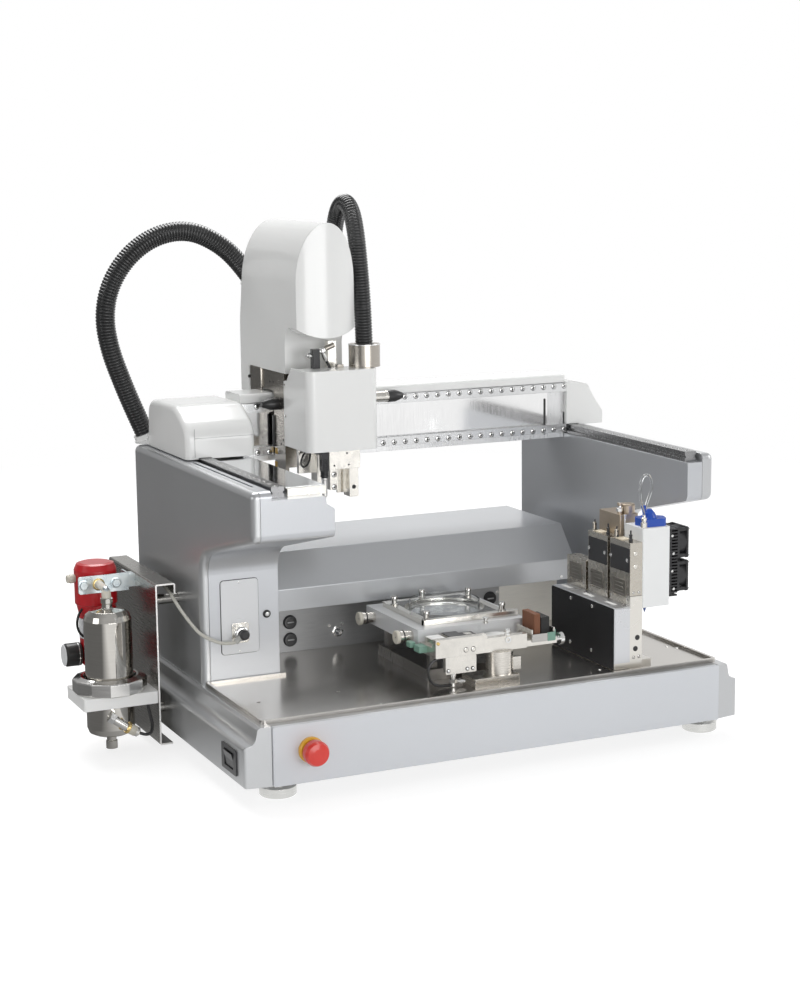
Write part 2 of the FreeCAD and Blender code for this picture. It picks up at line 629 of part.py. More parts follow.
cy0 = rf
white = plate(tr, cy0, cooled_bottom, cooled_right, cy0 + cooled_deep, cooled_top, 2)
needle = turned([(0, 0), (0.6, 0), (3, 8), (3, 9), (0, 9)], tr + 9, cy0 + 8, cooled_bottom - 8.5)
lid = prism("xy", cooled_top, cooled_top + 12, [
    (tr + 8, cy0 + 6, 6), (cooled_right - 4, cy0 + 4, 8), (cooled_right + 4, cy0 + 26, 6),
    (cooled_right - 14, cy0 + 46, 10), (tr + 6, cy0 + 40, 10)])
peak = turned([(0, 0), (13, 0), (9, 7), (4, 13), (0, 13)], (tr + cooled_right) / 2 + 2, cy0 + 26,
              cooled_top + 12)
pieces["cooled_tool"] = [join(white, needle), join(lid, peak)]
sink = join(*[box(cooled_right, cy0, fan_low - 6 + i * 5.0, cooled_right + sink_thick, cy0 + cooled_deep - 4,
                  fan_low - 6 + i * 5.0 + 2.4) for i in range(22)],
            box(cooled_right, cy0, fan_low - 6, cooled_right + 3, cy0 + cooled_deep - 4, fan_low + 102))
pieces["tool_heatsink"] = [sink]


def fan_frame(z):
    x = cooled_right + sink_thick
    half, rim = fan_size / 2, 3.5
    mid_y, mid_z = cy0 + half, z + half
    flanges = [plate(a, cy0, z, a + rim, cy0 + fan_size, z + fan_size, 3, "x")
               for a in (x, x + fan_thick - rim)]
    posts = [rod(3.4, fan_thick, x, mid_y + a * (half - 4), mid_z + b * (half - 4), (1, 0, 0))
             for a in (-1, 1) for b in (-1, 1)]
    shell = join(rod(half - 0.4, fan_thick, x, mid_y, mid_z, (1, 0, 0)), *flanges, *posts)
    shell = shell.cut(rod(half - 2, fan_thick + 2, x - 1, mid_y, mid_z, (1, 0, 0)))
    hub = rod(9, 3, x, mid_y, mid_z, (1, 0, 0))
    spokes = [box(x, mid_y - 1.5, mid_z - fan_size / 2 + 1, x + 3, mid_y + 1.5, mid_z + fan_size / 2 - 1),
              box(x, mid_y - fan_size / 2 + 1, mid_z - 1.5, x + 3, mid_y + fan_size / 2 - 1, mid_z + 1.5)]
    return join(shell, hub, *spokes)


def rotor(z):
    x = cooled_right + sink_thick + 3.1
    mid_y, mid_z = cy0 + fan_size / 2, z + fan_size / 2
    hub = rod(9, 13, x, mid_y, mid_z, (1, 0, 0))
    blades = []
    for i in range(7):
        blade = box(x + 1, mid_y + 7, mid_z - 4.5, x + 12, mid_y + fan_size / 2 - 3.5, mid_z - 3.3)
        blade.rotate(V(x, mid_y, mid_z), V(1, 0, 0), i * 360 / 7)
        blades.append(blade)
    return join(hub, *blades)


pieces["tool_heatsink"] += [fan_frame(fan_low), fan_frame(fan_low + fan_pitch)]
pieces["fan_rotor_low"] = [rotor(fan_low)]
pieces["fan_rotor_high"] = [rotor(fan_low + fan_pitch)]

by = slots[1]
hot = plate(tr, by, 230, tr + 34, by + tool_width + 4, 351.5, 2)
hot_knob = rod(10.5, 15, tr + 21, by + 12, 351.5)
fitting = turned([(0, 0), (4, 0), (4, 5), (3, 6), (3, 13), (4, 14), (4, 18), (0, 18)], tr + 5, by + 9, 351.5)
pieces["heated_tool"] = [join(hot, hot_knob, fitting)]

# gantry
hood = prism("yz", hood_left, hood_inner, [
    (hood_front, hood_base), (hood_front, hood_base + 48, 34), (hood_front + 52, hood_peak - 2, 60),
    (hood_rear - 8, hood_peak - 4, 26), (hood_rear, hood_base)])
side_edges = [e for e in hood.Edges if max(v.Z for v in e.Vertexes) > hood_base + 1
              and (all(abs(v.X - hood_left) < 0.01 for v in e.Vertexes)
                   or all(abs(v.X - hood_inner) < 0.01 for v in e.Vertexes))]
hood = hood.makeFillet(9, side_edges)
tunnel_high = 22.0
end_wall = 7.0
hood = hood.cut(box(channel_left - 1, hood_front + end_wall, hood_base - 1, strip_left + 1,
                    hood_rear - end_wall, hood_base + tunnel_high))
rail_slot = channel_z + rail_high + 0.6
hood = hood.cut(box(rail_left_x - 0.8, hood_front - 5, hood_base - 1, rail_left_x + rail_wide + 0.8,
                    hood_rear + 5, rail_slot))
gland_base, gland_way = V(hood_left + 8, hood_rear + 18.5, hood_base + 3.5), V(-0.4, 0, 0.917)
gland = join(Part.makeCylinder(19, 16, gland_base, gland_way),
             Part.makeCylinder(21, 7, gland_base, gland_way),
             box(hood_left - 0.5, hood_rear - 6, hood_base + 0.5, rail_left_x - 1, gland_base.y + 12,
                 hood_base + 10))
gland = gland.cut(box(hood_left - 80, 200, hood_base - 20, hood_left + 80, 400, hood_base + 0.3))
hood = join(hood, gland)
pieces["gantry_hood"] = [hood]

endcap = prism("xz", endcap_front, hood_rear, [
    (endcap_left, hood_base), (endcap_left, endcap_top, 5), (endcap_left + 40.5, endcap_top - 7.5, 9),
    (endcap_right - 15.6, endcap_top - 34, 9), (endcap_right, endcap_top - 56, 7), (endcap_right, hood_base)])
endcap = endcap.cut(box(endcap_left - 1, endcap_front + end_wall, hood_base - 1, tower_right_seam + 1,
                        hood_rear - end_wall, hood_base + tunnel_high))
endcap = endcap.cut(box(endcap_left - 1, endcap_front - 5, hood_base - 1, rail_right_x + rail_wide + 0.8,
                        hood_rear + 5,
                        rail_slot))
pieces["gantry_endcap"] = [endcap]


def runner(x, front, rear):
    """Carriage block wrapped round an arm rail, with its running clearance."""
    top = channel_z + rail_high
    lip = 3.0
    solid = box(x - lip, front, top - 7, x + rail_wide + lip, rear, hood_base + tunnel_high - 0.2)
    space = box(x - run_gap, hood_front, top - 8, x + rail_wide + run_gap, hood_rear, top + run_gap)
    return solid.cut(space)


beam = box(beam_left, beam_front, beam_bottom, beam_right, beam_rear, beam_top)
beam = beam.cut(box(beam_left - 1, beam_front + 18, beam_bottom - 1, beam_right + 1, beam_rear - 8,
                    beam_bottom + 12))
pieces["gantry_beam"] = [beam]
pieces["rail_runners"] = [runner(rail_left_x, hood_front + 28, hood_rear - 28),
                          runner(rail_right_x, endcap_front + 12, hood_rear - 12)]


def beam_rail(z):
    return box(beam_left, beam_front - beam_rail_deep, z, beam_right - 1, beam_front, z + beam_rail_high)


pieces["beam_rails"] = [beam_rail(upper_rail_z), beam_rail(lower_rail_z)]
pieces["beam_window"] = [plate(beam_left + 4, beam_front - 3, lower_rail_z + beam_rail_high + 1, 300,
                               beam_front,
                               upper_rail_z - 1, 1.5, "y")]
pieces["beam_cover"] = [prism("yz", beam_left, beam_right, [
    (beam_front - 4, beam_top), (beam_front - 4, beam_top + 14, 6), (beam_rear + 4, beam_top + 14, 6),
    (beam_rear + 4, beam_top)])]

# carriage
cl, cr, cs = carriage_left, carriage_right, carriage_sheet
bridge_z = beam_top + 19


def cheek(x):
    return prism("yz", x, x + cs, [
        (carriage_front, carriage_bottom), (beam_front - beam_rail_deep - 3, carriage_bottom),
        (beam_front - beam_rail_deep - 3, bridge_z, 3), (198, bridge_z), (198, carriage_top),
        (carriage_front, carriage_top)])


web = box(cl + cs, 60, carriage_bottom + 4, cr - cs, 72, carriage_top)
bridge = box(cl + cs, 72, bridge_z, cr - cs, 198, carriage_top)


def gripper(z):
    solid = box(cl + cs + 2, 72, z - 4, cr - cs - 2, beam_front - 5, z + beam_rail_high + 4)
    space = box(cl, beam_front - beam_rail_deep - run_gap, z - run_gap, cr, beam_front,
                z + beam_rail_high + run_gap)
    return solid.cut(space)


rz0, rz1 = head_bottom - 23, head_bottom + 23
rail_back = core_rear + z_rail_deep
z_block = box(z_rail_x - 9, core_rear + 5, rz0, z_rail_x + z_rail_wide + 9, 60, rz1)
z_block = z_block.cut(box(z_rail_x - run_gap, core_rear, rz0 - 1, z_rail_x + z_rail_wide + run_gap,
                          rail_back + run_gap, rz1 + 1))
cone = [(0, 0), (buffer_radius + 1, 0), (buffer_radius + 1, 12), (4, 27), (0, 27)]
left_buffer = turned(cone, cl, buffer_y, buffer_z, (-1, 0, 0))
right_buffer = join(rod(buffer_radius, 80, cr, buffer_y, buffer_z, (1, 0, 0)),
                    turned(cone, cr + 80, buffer_y, buffer_z, (1, 0, 0)))
pieces["carriage_frame"] = [join(cheek(cl), cheek(cr - cs), web, bridge, gripper(upper_rail_z),
                                 gripper(lower_rail_z), z_block),
                            left_buffer, right_buffer]

left_x, right_x, start_y = cover_mid - cover_half, cover_mid + cover_half, cover_front - 10
arch = Part.Ellipse(V(cover_mid, start_y, cover_apex), V(right_x, start_y, cover_spring),
                    V(cover_mid, start_y, cover_spring))
sides = Part.Wire([
    Part.Arc(arch, -math.pi / 2, math.pi / 2).toShape(),
    Part.LineSegment(V(right_x, start_y, cover_spring), V(right_x, start_y, cover_skirt_z)).toShape(),
    Part.LineSegment(V(right_x, start_y, cover_skirt_z), V(left_x, start_y, cover_skirt_z)).toShape(),
    Part.LineSegment(V(left_x, start_y, cover_skirt_z), V(left_x, start_y, cover_spring)).toShape()])
tall = Part.Face(sides).extrude(V(0, cover_rear + 50, 0))
bulge = rod(cover_bulge, 400, cover_mid, cover_front + cover_bulge, cover_skirt_z - 50)
depth = prism("yz", left_x - 5, right_x + 5, [
    (cover_front - 5, carriage_top), (cover_skirt_y, carriage_top), (cover_skirt_y, cover_skirt_z),
    (cover_rear, cover_skirt_z), (cover_rear, carriage_top + 70, 90), (cover_rear_top, cover_apex + 5),
    (cover_front - 5, cover_apex + 5)])
front_part = tall.common(depth).common(box(-reach, -reach, carriage_bottom, reach, 60, reach)).common(bulge)
rear_part = tall.common(depth).common(box(-reach, 60, carriage_bottom, reach, reach, reach))
lip_side = prism("yz", left_x - 5, right_x + 5, [
    (cover_front - 20, 560), (recess_y, 560), (recess_y, recess_z + 3, 34),
    (cover_front - 20, recess_z + 3)])
low_lip = recess_z - recess_drop
arc = Part.Wire([
    Part.Arc(V(left_x - 5, -70, recess_z + 2), V(cover_mid, -70, low_lip),
             V(right_x + 5, -70, recess_z + 2)).toShape(),
    Part.makePolygon([V(right_x + 5, -70, recess_z + 2), V(right_x + 5, -70, 560), V(left_x - 5, -70, 560),
                      V(left_x - 5, -70, recess_z + 2)])])
lip_front_view = Part.Face(arc).extrude(V(0, 150, 0))
tall = join(front_part, rear_part).cut(lip_side.common(lip_front_view))
rear_end, rear_way = V(cover_mid - 14.5, cover_rear + 24, cover_spring - 14), V(28, 7, -36).normalize()
start = rear_end - rear_way * 9
sleeve = Part.makeCylinder(19.5, 26, start, rear_way).cut(Part.makeCylinder(12, 9, start - rear_way,
                                                                            rear_way))
rear_boss = join(sleeve.cut(Part.makeCylinder(16.2, 10, start - rear_way, rear_way)),
                 box(cover_mid - 18.5, 205, cover_spring - 58, cover_mid + 9.5, cover_rear + 30,
                     cover_spring - 30))
side_y, side_top = 108.0, cover_spring - 6
side_sleeve = rod(17.5, 40, collar_x, side_y, side_top - 32).cut(rod(14.2, 12, collar_x, side_y,
                                                                     side_top - 3))
side_boss = join(side_sleeve, box(right_x - 1, side_y - 14, side_top - 32, collar_x, side_y + 14,
                                  side_top - 6))
pieces["tall_cover"] = [join(tall, rear_boss, side_boss.cut(box(-reach, 0, carriage_bottom, right_x - 1,
                                                                reach, reach)))]

# head
hl, hr, hf, hb = head_left, head_right, head_front, head_rear
shell = prism("xy", head_bottom, head_top, [(hl, hb), (hl, hf, head_corner), (hr, hf, head_corner),
                                            (hr, hb)])
inner = prism("xy", head_bottom - 1, head_top - head_wall, [
    (hl + head_wall, hb + 1), (hl + head_wall, hf + head_wall, head_corner - head_wall),
    (hr - head_wall, hf + head_wall, head_corner - head_wall), (hr - head_wall, hb + 1)])
slope = prism("yz", hl - 1, hr + 1, [(4, head_top + 1), (16, head_top + 1), (36, head_top - 21),
                                     (hb + 2, head_top - 23), (hb + 2, head_top + 9),
                                     (4, head_top + 9)])
behind = box(hl + head_wall, core_rear - 8, head_top - 30, hr - head_wall, hb + 5, head_top + 5)
pieces["head_cover"] = [shell.cut(inner).cut(slope).cut(behind)]

hz = head_bottom
core = join(box(core_left, core_front, hz + 7, core_right, core_rear, hz + 97),
            box(core_left, core_front, hz + 92, core_right, 3, head_top - head_wall - 0.2))
cross = plate(core_left + 18, core_front - 8, hz - 33, core_right, core_front, hz + 93, 1, "y")
right_bar = plate(core_right - 15, core_front, hz - 80, core_right, core_rear, hz + 12, 1, "y")
left_strip = box(core_left, core_front, hz - 56, core_left + 7, core_rear, hz + 12)
left_plate = box(core_left - 24, core_rear - 8, hz - 39, core_left, core_rear, hz + 37)
channel = join(box(core_left + 46.5, core_rear + 6, hz - 77, core_right - 1, core_rear + 10, hz - 26),
               box(core_right - 13, core_rear - 1, hz - 77, core_right - 1, core_rear + 10, hz - 26))
pieces["head_slide"] = [join(core, cross, right_bar, left_strip, left_plate, channel)]
z_rail = box(z_rail_x, core_rear, z_rail_low, z_rail_x + z_rail_wide, rail_back, z_rail_top)
pieces["head_slide"].append(z_rail)
collar_ring = turned([(collar_radius - 4, 0), (collar_radius, 0), (collar_radius, collar_high),
                      (15.5, collar_high),
                      (15.5, collar_high - 6), (collar_radius - 4, collar_high - 6)], collar_x, collar_y,
                      head_top + 0.1)
tower_plug = [plate(core_left - 2, -9, head_top, core_left + 10, 3, head_top + 30, 1.5),
              rod(4, 26, core_left + 11, -3, head_top + 26, (0.8, 0, 0.3))]
pieces["head_fittings"] = [collar_ring, join(*tower_plug), box(core_right - 33, -14, head_top,
                                                               core_right - 23, -4, head_top + 5)]
px = core_left - 3
probe = join(box(px, -39, hz - 31, px + 12, -29, hz - 1), box(px, -39, hz - 7, px + 12, core_front, hz + 5),
             turned([(0, 0), (1.2, 0), (2.5, 12), (4.2, 13), (4.2, 38), (5, 39), (5, 54), (0, 54)], px + 6,
                    -34, hz - 84))
pieces["touch_probe"] = [probe]

# cords
long_hose = [(-370.0, 256.5, 470.95), (-387.6, 256.5, 511.3), (-406, 256, 558), (-424, 255, 609),
             (-432, 254, 661), (-421, 253, 713),
             (-388, 252, 760), (-341, 251, 790), (-287, 250, 797), (-238, 252, 776), (-200, 255, 744),
             (-172, 262, 708)]
pieces["long_hose"] = [cord("long_hose", long_hose, 16.0, 96)]
short_hose = [(-94, -12.5, head_top + collar_high - 5), (-94, -10, 664), (-94, -4, 712), (-94, 4, 756),
              (-93.5, 15, 797),
              (-93, 31, 828), (-92.5, 58, 843), (-92.5, 86, 830), (-93.5, 101, 796), (-94, side_y, 757),
              (-94, side_y, side_top - 2)]
pieces["short_hose"] = [cord("short_hose", short_hose, 14.0, 84)]
sensor_route = [(-412, 46, 257), (-411, 24, 253), (-408, 4, 239), (-402, -14, 224), (-396, -33, 211),
                (-391, -53, 201),
                (-376, -63, 192), (-356, -66, 183.6), (-339.8, -69, 185.8)]
plug = join(turned([(0, 0), (7.8, 0), (7.8, 12), (6, 14), (0, 14)], sock_x, column_front - 12.9, sock_z,
                   (0, -1, 0)),
            rod(4.6, 18, -339.5, -69, 186, (0.8, 0, 0.6)))
pieces["sensor_cable"] = [cord("sensor_cable", sensor_route, 2.6, 15), plug]
pieces["drain_cable"] = [cord("drain_cable", [(-473, 11.6, 41), (-462.5, 10.3, 35.5), (-451, 14, 36),
                                              (-445, 25, 46),
                                              (-446, 37, 62), (-447, 44, 80.8)], 2.4, 8)]

for name, solids in pieces.items():
    moved = []
    for solid in solids:
        solid = solid.copy()
        solid.translate(V(origin_x, origin_y, 0))
        moved.append(solid)
    pieces[name] = moved

if __name__ == "__main__":
    os.makedirs("parts", exist_ok=True)
    total = FreeCAD.BoundBox()
    for name, solids in pieces.items():
        shape = solids[0] if len(solids) == 1 else Part.makeCompound(solids)
        count = len(shape.Solids)
        if not shape.isValid() or count < len(solids):
            print("LOOK AT", name, shape.isValid(), count)
        if "hose" not in name and "cable" not in name:
            total.add(shape.BoundBox)
        shape.exportStep("parts/" + name + ".step")
    print(len(pieces), "pieces, box", [round(v, 2) for v in (total.XMin, total.YMin, total.ZMin,
                                                               total.XMax, total.YMax, total.ZMax)])
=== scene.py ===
import bpy
import bmesh
import math
import numpy as np
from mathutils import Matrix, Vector


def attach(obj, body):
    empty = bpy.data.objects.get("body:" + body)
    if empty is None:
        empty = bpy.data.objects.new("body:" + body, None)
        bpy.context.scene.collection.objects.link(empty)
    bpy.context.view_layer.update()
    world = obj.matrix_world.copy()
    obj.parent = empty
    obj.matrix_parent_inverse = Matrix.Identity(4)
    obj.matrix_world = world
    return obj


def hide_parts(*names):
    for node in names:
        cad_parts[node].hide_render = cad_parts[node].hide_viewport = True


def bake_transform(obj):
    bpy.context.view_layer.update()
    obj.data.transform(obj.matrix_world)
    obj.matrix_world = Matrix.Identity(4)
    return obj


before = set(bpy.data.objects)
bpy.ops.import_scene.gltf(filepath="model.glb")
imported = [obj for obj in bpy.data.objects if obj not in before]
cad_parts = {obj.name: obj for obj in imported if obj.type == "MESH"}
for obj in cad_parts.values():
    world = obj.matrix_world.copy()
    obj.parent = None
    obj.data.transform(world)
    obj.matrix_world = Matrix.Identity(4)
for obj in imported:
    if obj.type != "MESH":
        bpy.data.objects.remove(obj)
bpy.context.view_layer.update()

# The camera stands to the machine's front left, a little above the gantry, where the photograph was taken from:
# its place, turn and lens were solved from the machine's own straight edges.
eye = bpy.data.objects.new("photograph_camera", bpy.data.cameras.new("photograph_camera"))
bpy.context.scene.collection.objects.link(eye)
bpy.context.scene.camera = eye
eye.location = (-1.27380, -2.80797, 0.91672)
eye.rotation_euler = [math.radians(a) for a in (80.30110, 0.63838, -25.04491)]
eye.data.sensor_width = 36.0
eye.data.lens = 71.4508
eye.data.shift_x = -0.00218
eye.data.shift_y = -0.00859
eye.data.clip_start = 0.05
eye.data.clip_end = 60.0
bpy.context.scene.view_settings.view_transform = "Standard"


# Two corrugated conduits: a thick one from the gantry hood to the back of the tall cover and a thinner one from the
# head's collar to the cover's side. Black polyamide, blown with a rib every few millimetres, pushed into their sockets.
class Dab:
    """One socket of a material's tree. Arithmetic on it, from either side, adds Math nodes; node() adds any other
    node from its type, its settings, which are set first, and its sockets' values or links, and gives one outlet."""

    def __init__(self, tree, socket=None):
        self.tree, self.socket = tree, socket

    def node(self, kind, settings=None, sockets=None, outlet=0):
        new = self.tree.nodes.new("ShaderNode" + kind)
        for name, value in (settings or {}).items():
            setattr(new, name, value)
        for name, value in (sockets or {}).items():
            if isinstance(value, Dab):
                self.tree.links.new(value.socket, new.inputs[name])
            else:
                new.inputs[name].default_value = value
        return Dab(self.tree, new.outputs[outlet])

    def sum(self, operation, *terms):
        return self.node("Math", {"operation": operation}, dict(enumerate(terms)))

    def __add__(self, other): return self.sum("ADD", self, other)
    def __radd__(self, other): return self.sum("ADD", other, self)
    def __sub__(self, other): return self.sum("SUBTRACT", self, other)
    def __rsub__(self, other): return self.sum("SUBTRACT", other, self)
    def __mul__(self, other): return self.sum("MULTIPLY", self, other)
    def __rmul__(self, other): return self.sum("MULTIPLY", other, self)
    def __gt__(self, other): return self.sum("GREATER_THAN", self, other)
    def __lt__(self, other): return self.sum("LESS_THAN", self, other)

    def kept(self, low, high):
        """The value held between low and high."""
        return self.node("Clamp", None, {"Value": self, "Min": low, "Max": high})

    def part(self, axis):
        """This vector's number along X, Y or Z."""
        return self.node("SeparateXYZ", None, {0: self}, axis)

    def blend(self, first, second):
        """A colour that is first where this mask is 0 and second where it is 1."""
        return self.node("Mix", {"data_type": "RGBA"}, {0: self, 6: first, 7: second}, 2)


def begin(name):
    """Starts a material and gives it with its Object coordinates."""
    material = bpy.data.materials.new(name)
    material.use_nodes = True
    material.node_tree.nodes.clear()
    place = Dab(material.node_tree).node("TexCoord", None, None, "Object")
    return material, place


def close(material, place, **inputs):
    """Ends a material in one Principled shader; the inputs are its sockets, with _ for a space."""
    shader = place.node("BsdfPrincipled", None, {name.replace("_", " "): value for name, value in inputs.items()})
    end = material.node_tree.nodes.new("ShaderNodeOutputMaterial")
    material.node_tree.links.new(shader.socket, end.inputs["Surface"])
    return material


def noise(place, scale, detail=3.0, stretch=None):
    """Noise between about 0.3 and 0.7; stretch gives another scale along each axis, as brushing does."""
    if stretch is not None:
        place = place.node("Mapping", None, {"Vector": place, "Scale": stretch})
    return place.node("TexNoise", None, {"Vector": place, "Scale": scale, "Detail": detail}, 0)


def soft_edge(place, radius):
    """The normal rounded over the edges within this radius, and a mask of those edges."""
    rounded = place.node("Bevel", {"samples": 5}, {"Radius": radius})
    flat = place.node("NewGeometry", None, None, "Normal")
    near = place.node("VectorMath", {"operation": "DOT_PRODUCT"}, {0: rounded, 1: flat}, "Value")
    return rounded, ((1.0 - near) * 5.0).kept(0.0, 1.0)


def bumped(place, rounded, height, strength, depth):
    """The rounded normal, roughened by this height."""
    return place.node("Bump", None, {"Strength": strength, "Distance": depth, "Height": height, "Normal": rounded})


def tinted(colour, gain, lift=0.0):
    """The colour made lighter or darker, with the fourth number that a socket wants."""
    return tuple(min(1.0, c * gain + lift) for c in colour) + (1.0,)


def moulded(name, colour, rough=0.42, grain=1400.0, depth=0.00002, edge=0.0005, coat=0.0, spread=0.05):
    """Moulded plastic: an even colour with slow mottling, fine grain in the bump and edges lighter from rubbing and a
    painted highlight.
    """
    material, place = begin(name)
    rounded, rim = soft_edge(place, edge)
    slow = noise(place, 9.0)
    fine = noise(place, grain, 1.0)
    pale = tinted(colour, 1 + spread, 0.012)
    deep = tinted(colour, 1 - spread)
    tone = ((slow - 0.3) * 2.5).kept(0.0, 1.0).blend(deep, pale)
    # The edges lighten to this colour: partly rubbing, partly a painted highlight.
    rubbed_and_highlit = tinted(colour, 1.12, 0.02)
    bump = bumped(place, rounded, fine, 0.35, depth)
    return close(material, place, Base_Color=(rim * 0.5).blend(tone, rubbed_and_highlit),
        Roughness=rough + (slow - 0.5) * 0.18 + rim * 0.06, Coat_Weight=coat, Normal=bump)


def laid(name, points, material, body="base", wrap=True, sharp=35.0, stands_for=()):
    """One mesh from grids of points. Each item of points is (..., rows, columns, 3): every four neighbouring points
    make a face, and with wrap the last column meets the first. Points that coincide, as at a pole, are merged."""
    spots, quads, base = [], [], 0
    for grid in points if isinstance(points, (list, tuple)) else [points]:
        grid = np.asarray(grid, float)
        rows, columns = grid.shape[-3:-1]
        copies = grid.reshape(-1, rows, columns, 3)
        index = np.arange(rows * columns).reshape(rows, columns)
        if wrap:
            cell = np.stack([index[:-1], np.roll(index[:-1], -1, 1), np.roll(index[1:], -1, 1), index[1:]], -1)
        else:
            cell = np.stack([index[:-1, :-1], index[:-1, 1:], index[1:, 1:], index[1:, :-1]], -1)
        cell = cell.reshape(-1, 4)[None] + (np.arange(len(copies)) * rows * columns)[:, None, None]
        quads.append(cell.reshape(-1, 4) + base)
        spots.append(copies.reshape(-1, 3))
        base += copies.size // 3
    spots, quads = np.concatenate(spots), np.concatenate(quads)
    mesh = bpy.data.meshes.new(name)
    mesh.vertices.add(len(spots))
    mesh.vertices.foreach_set("co", spots.astype(np.float32).ravel())
    mesh.loops.add(quads.size)
    mesh.loops.foreach_set("vertex_index", quads.astype(np.int32).ravel())
    mesh.polygons.add(len(quads))
    mesh.polygons.foreach_set("loop_start", np.arange(0, quads.size, 4, dtype=np.int32))
    mesh.update(calc_edges=True)
    work = bmesh.new()
    work.from_mesh(mesh)
    bmesh.ops.remove_doubles(work, verts=work.verts, dist=2e-6)
    bmesh.ops.recalc_face_normals(work, faces=work.faces)
    work.to_mesh(mesh)
    work.free()
    mesh.polygons.foreach_set("use_smooth", np.ones(len(mesh.polygons), bool))
    mesh.set_sharp_from_angle(angle=math.radians(sharp))
    mesh.materials.append(material)
    piece = bpy.data.objects.new(name, mesh)
    bpy.context.scene.collection.objects.link(piece)
    if body is not None:
        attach(piece, body)
    if stands_for:
        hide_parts(*stands_for)
    return piece


def drawn_line(name, points, per_run=24):
    """The points that Blender gives for a NURBS spline with these control points, as an array."""
    curve = bpy.data.curves.new(name, "CURVE")
    curve.dimensions = "3D"
    curve.resolution_u = per_run
    spline = curve.splines.new("NURBS")
    spline.points.add(len(points) - 1)
    spline.points.foreach_set("co", [value for point in points for value in (*point, 1.0)])
    spline.order_u = 3
    spline.use_endpoint_u = True
    holder = bpy.data.objects.new(name, curve)
    bpy.context.scene.collection.objects.link(holder)
    graph = bpy.context.evaluated_depsgraph_get()
    mesh = bpy.data.meshes.new_from_object(holder.evaluated_get(graph))
    line = np.empty(len(mesh.vertices) * 3)
    mesh.vertices.foreach_get("co", line)
    bpy.data.objects.remove(holder)
    return line.reshape(-1, 3)


def along(line, count):
    """count points at even steps along a line, with its directions there."""
    steps = np.linalg.norm(np.diff(line, axis=0), axis=1)
    run = np.concatenate([[0.0], np.cumsum(steps)])
    at = np.linspace(0, run[-1], count)
    spots = np.stack([np.interp(at, run, line[:, k]) for k in range(3)], 1)
    way = np.gradient(spots, axis=0)
    return spots, way / np.linalg.norm(way, axis=1, keepdims=True)


def tube(line, radius, side, around=24, count=None):
    """A closed tube: the point at angle t is p + r (cos t n + sin t b), where n is square to the line and to side,
    b is square to both, and radius is one number or one per ring. Each end is closed by a ring of radius nought."""
    spots, way = along(line, count or len(line))
    n = np.cross(np.broadcast_to(side, way.shape), way)
    n /= np.linalg.norm(n, axis=1, keepdims=True)
    b = np.cross(way, n)
    r = np.broadcast_to(radius, (len(spots),)).astype(float)
    spots, n, b, r = (np.concatenate([a[:1], a, a[-1:]]) for a in (spots, n, b, r))
    r = r.copy()
    r[0] = r[-1] = 0.0
    t = np.linspace(0, 2 * np.pi, around, endpoint=False)
    return spots[:, None] + r[:, None, None] * (np.cos(t)[:, None] * n[:, None] + np.sin(t)[:, None] * b[:, None])


def ribbed(line, radius, pitch, depth, side, around=28):
    """A corrugated tube: its radius falls from r to r - depth between ribs as (1 + cos)^0.6 of the way along."""
    length = np.linalg.norm(np.diff(line, axis=0), axis=1).sum()
    ribs = round(length / pitch)
    count = ribs * 6 + 1
    wave = ((1 + np.cos(np.linspace(0, 2 * np.pi * ribs, count))) / 2) ** 0.6
    return tube(line, radius - depth * (1 - wave), side, around, count)


conduit = moulded("black_conduit", (0.014, 0.0145, 0.015), 0.24, 900.0, 0.000005, 0.0004, 0.35)
long_line = drawn_line("long_hose_line", [(-0.2992, 0.2853, 0.47095), (-0.3168, 0.2853, 0.5113),
    (-0.3352, 0.2848, 0.558), (-0.3532, 0.2838, 0.609), (-0.3612, 0.2828, 0.661), (-0.3502, 0.2818, 0.713),
    (-0.3172, 0.2808, 0.760), (-0.2702, 0.2798, 0.790), (-0.2162, 0.2788, 0.797), (-0.1672, 0.2808, 0.776),
    (-0.1292, 0.2838, 0.744), (-0.1012, 0.2908, 0.708)])
hose = laid("long_conduit", ribbed(long_line, 0.016, 0.0049, 0.0017, (0, 1, 0), 32), conduit, None, sharp=80,
    stands_for=["long_hose"])
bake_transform(hose)
short_line = drawn_line("short_hose_line", [(-0.0232, 0.0163, 0.6185), (-0.0232, 0.0188, 0.664),
    (-0.0232, 0.0248, 0.712), (-0.0232, 0.0328, 0.756), (-0.0227, 0.0438, 0.797), (-0.0222, 0.0598, 0.828),
    (-0.0217, 0.0868, 0.843), (-0.0217, 0.1148, 0.830), (-0.0227, 0.1298, 0.796), (-0.0232, 0.1368, 0.757),
    (-0.0232, 0.1368, 0.714)])
hose = laid("short_conduit", ribbed(short_line, 0.014, 0.0045, 0.0015, (1, 0, 0), 32), conduit, None, sharp=80,
    stands_for=["short_hose"])
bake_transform(hose)


# The round plastic sensor cable from the bracket to the plug on the left column, and the thin drain cable under the
# white block. Soft vinyl jackets, the first grey-beige, the second black, each clamped in its fitting.
def put(x, y, z):
    """Millimetres from the machine's own middle plane, front panel and bench, in the frame's metres."""
    return np.array([x + 70.8, y + 28.8, z]) / 1000.0


def puts(spots):
    """The same for many points at once."""
    return np.array([put(*spot) for spot in spots])


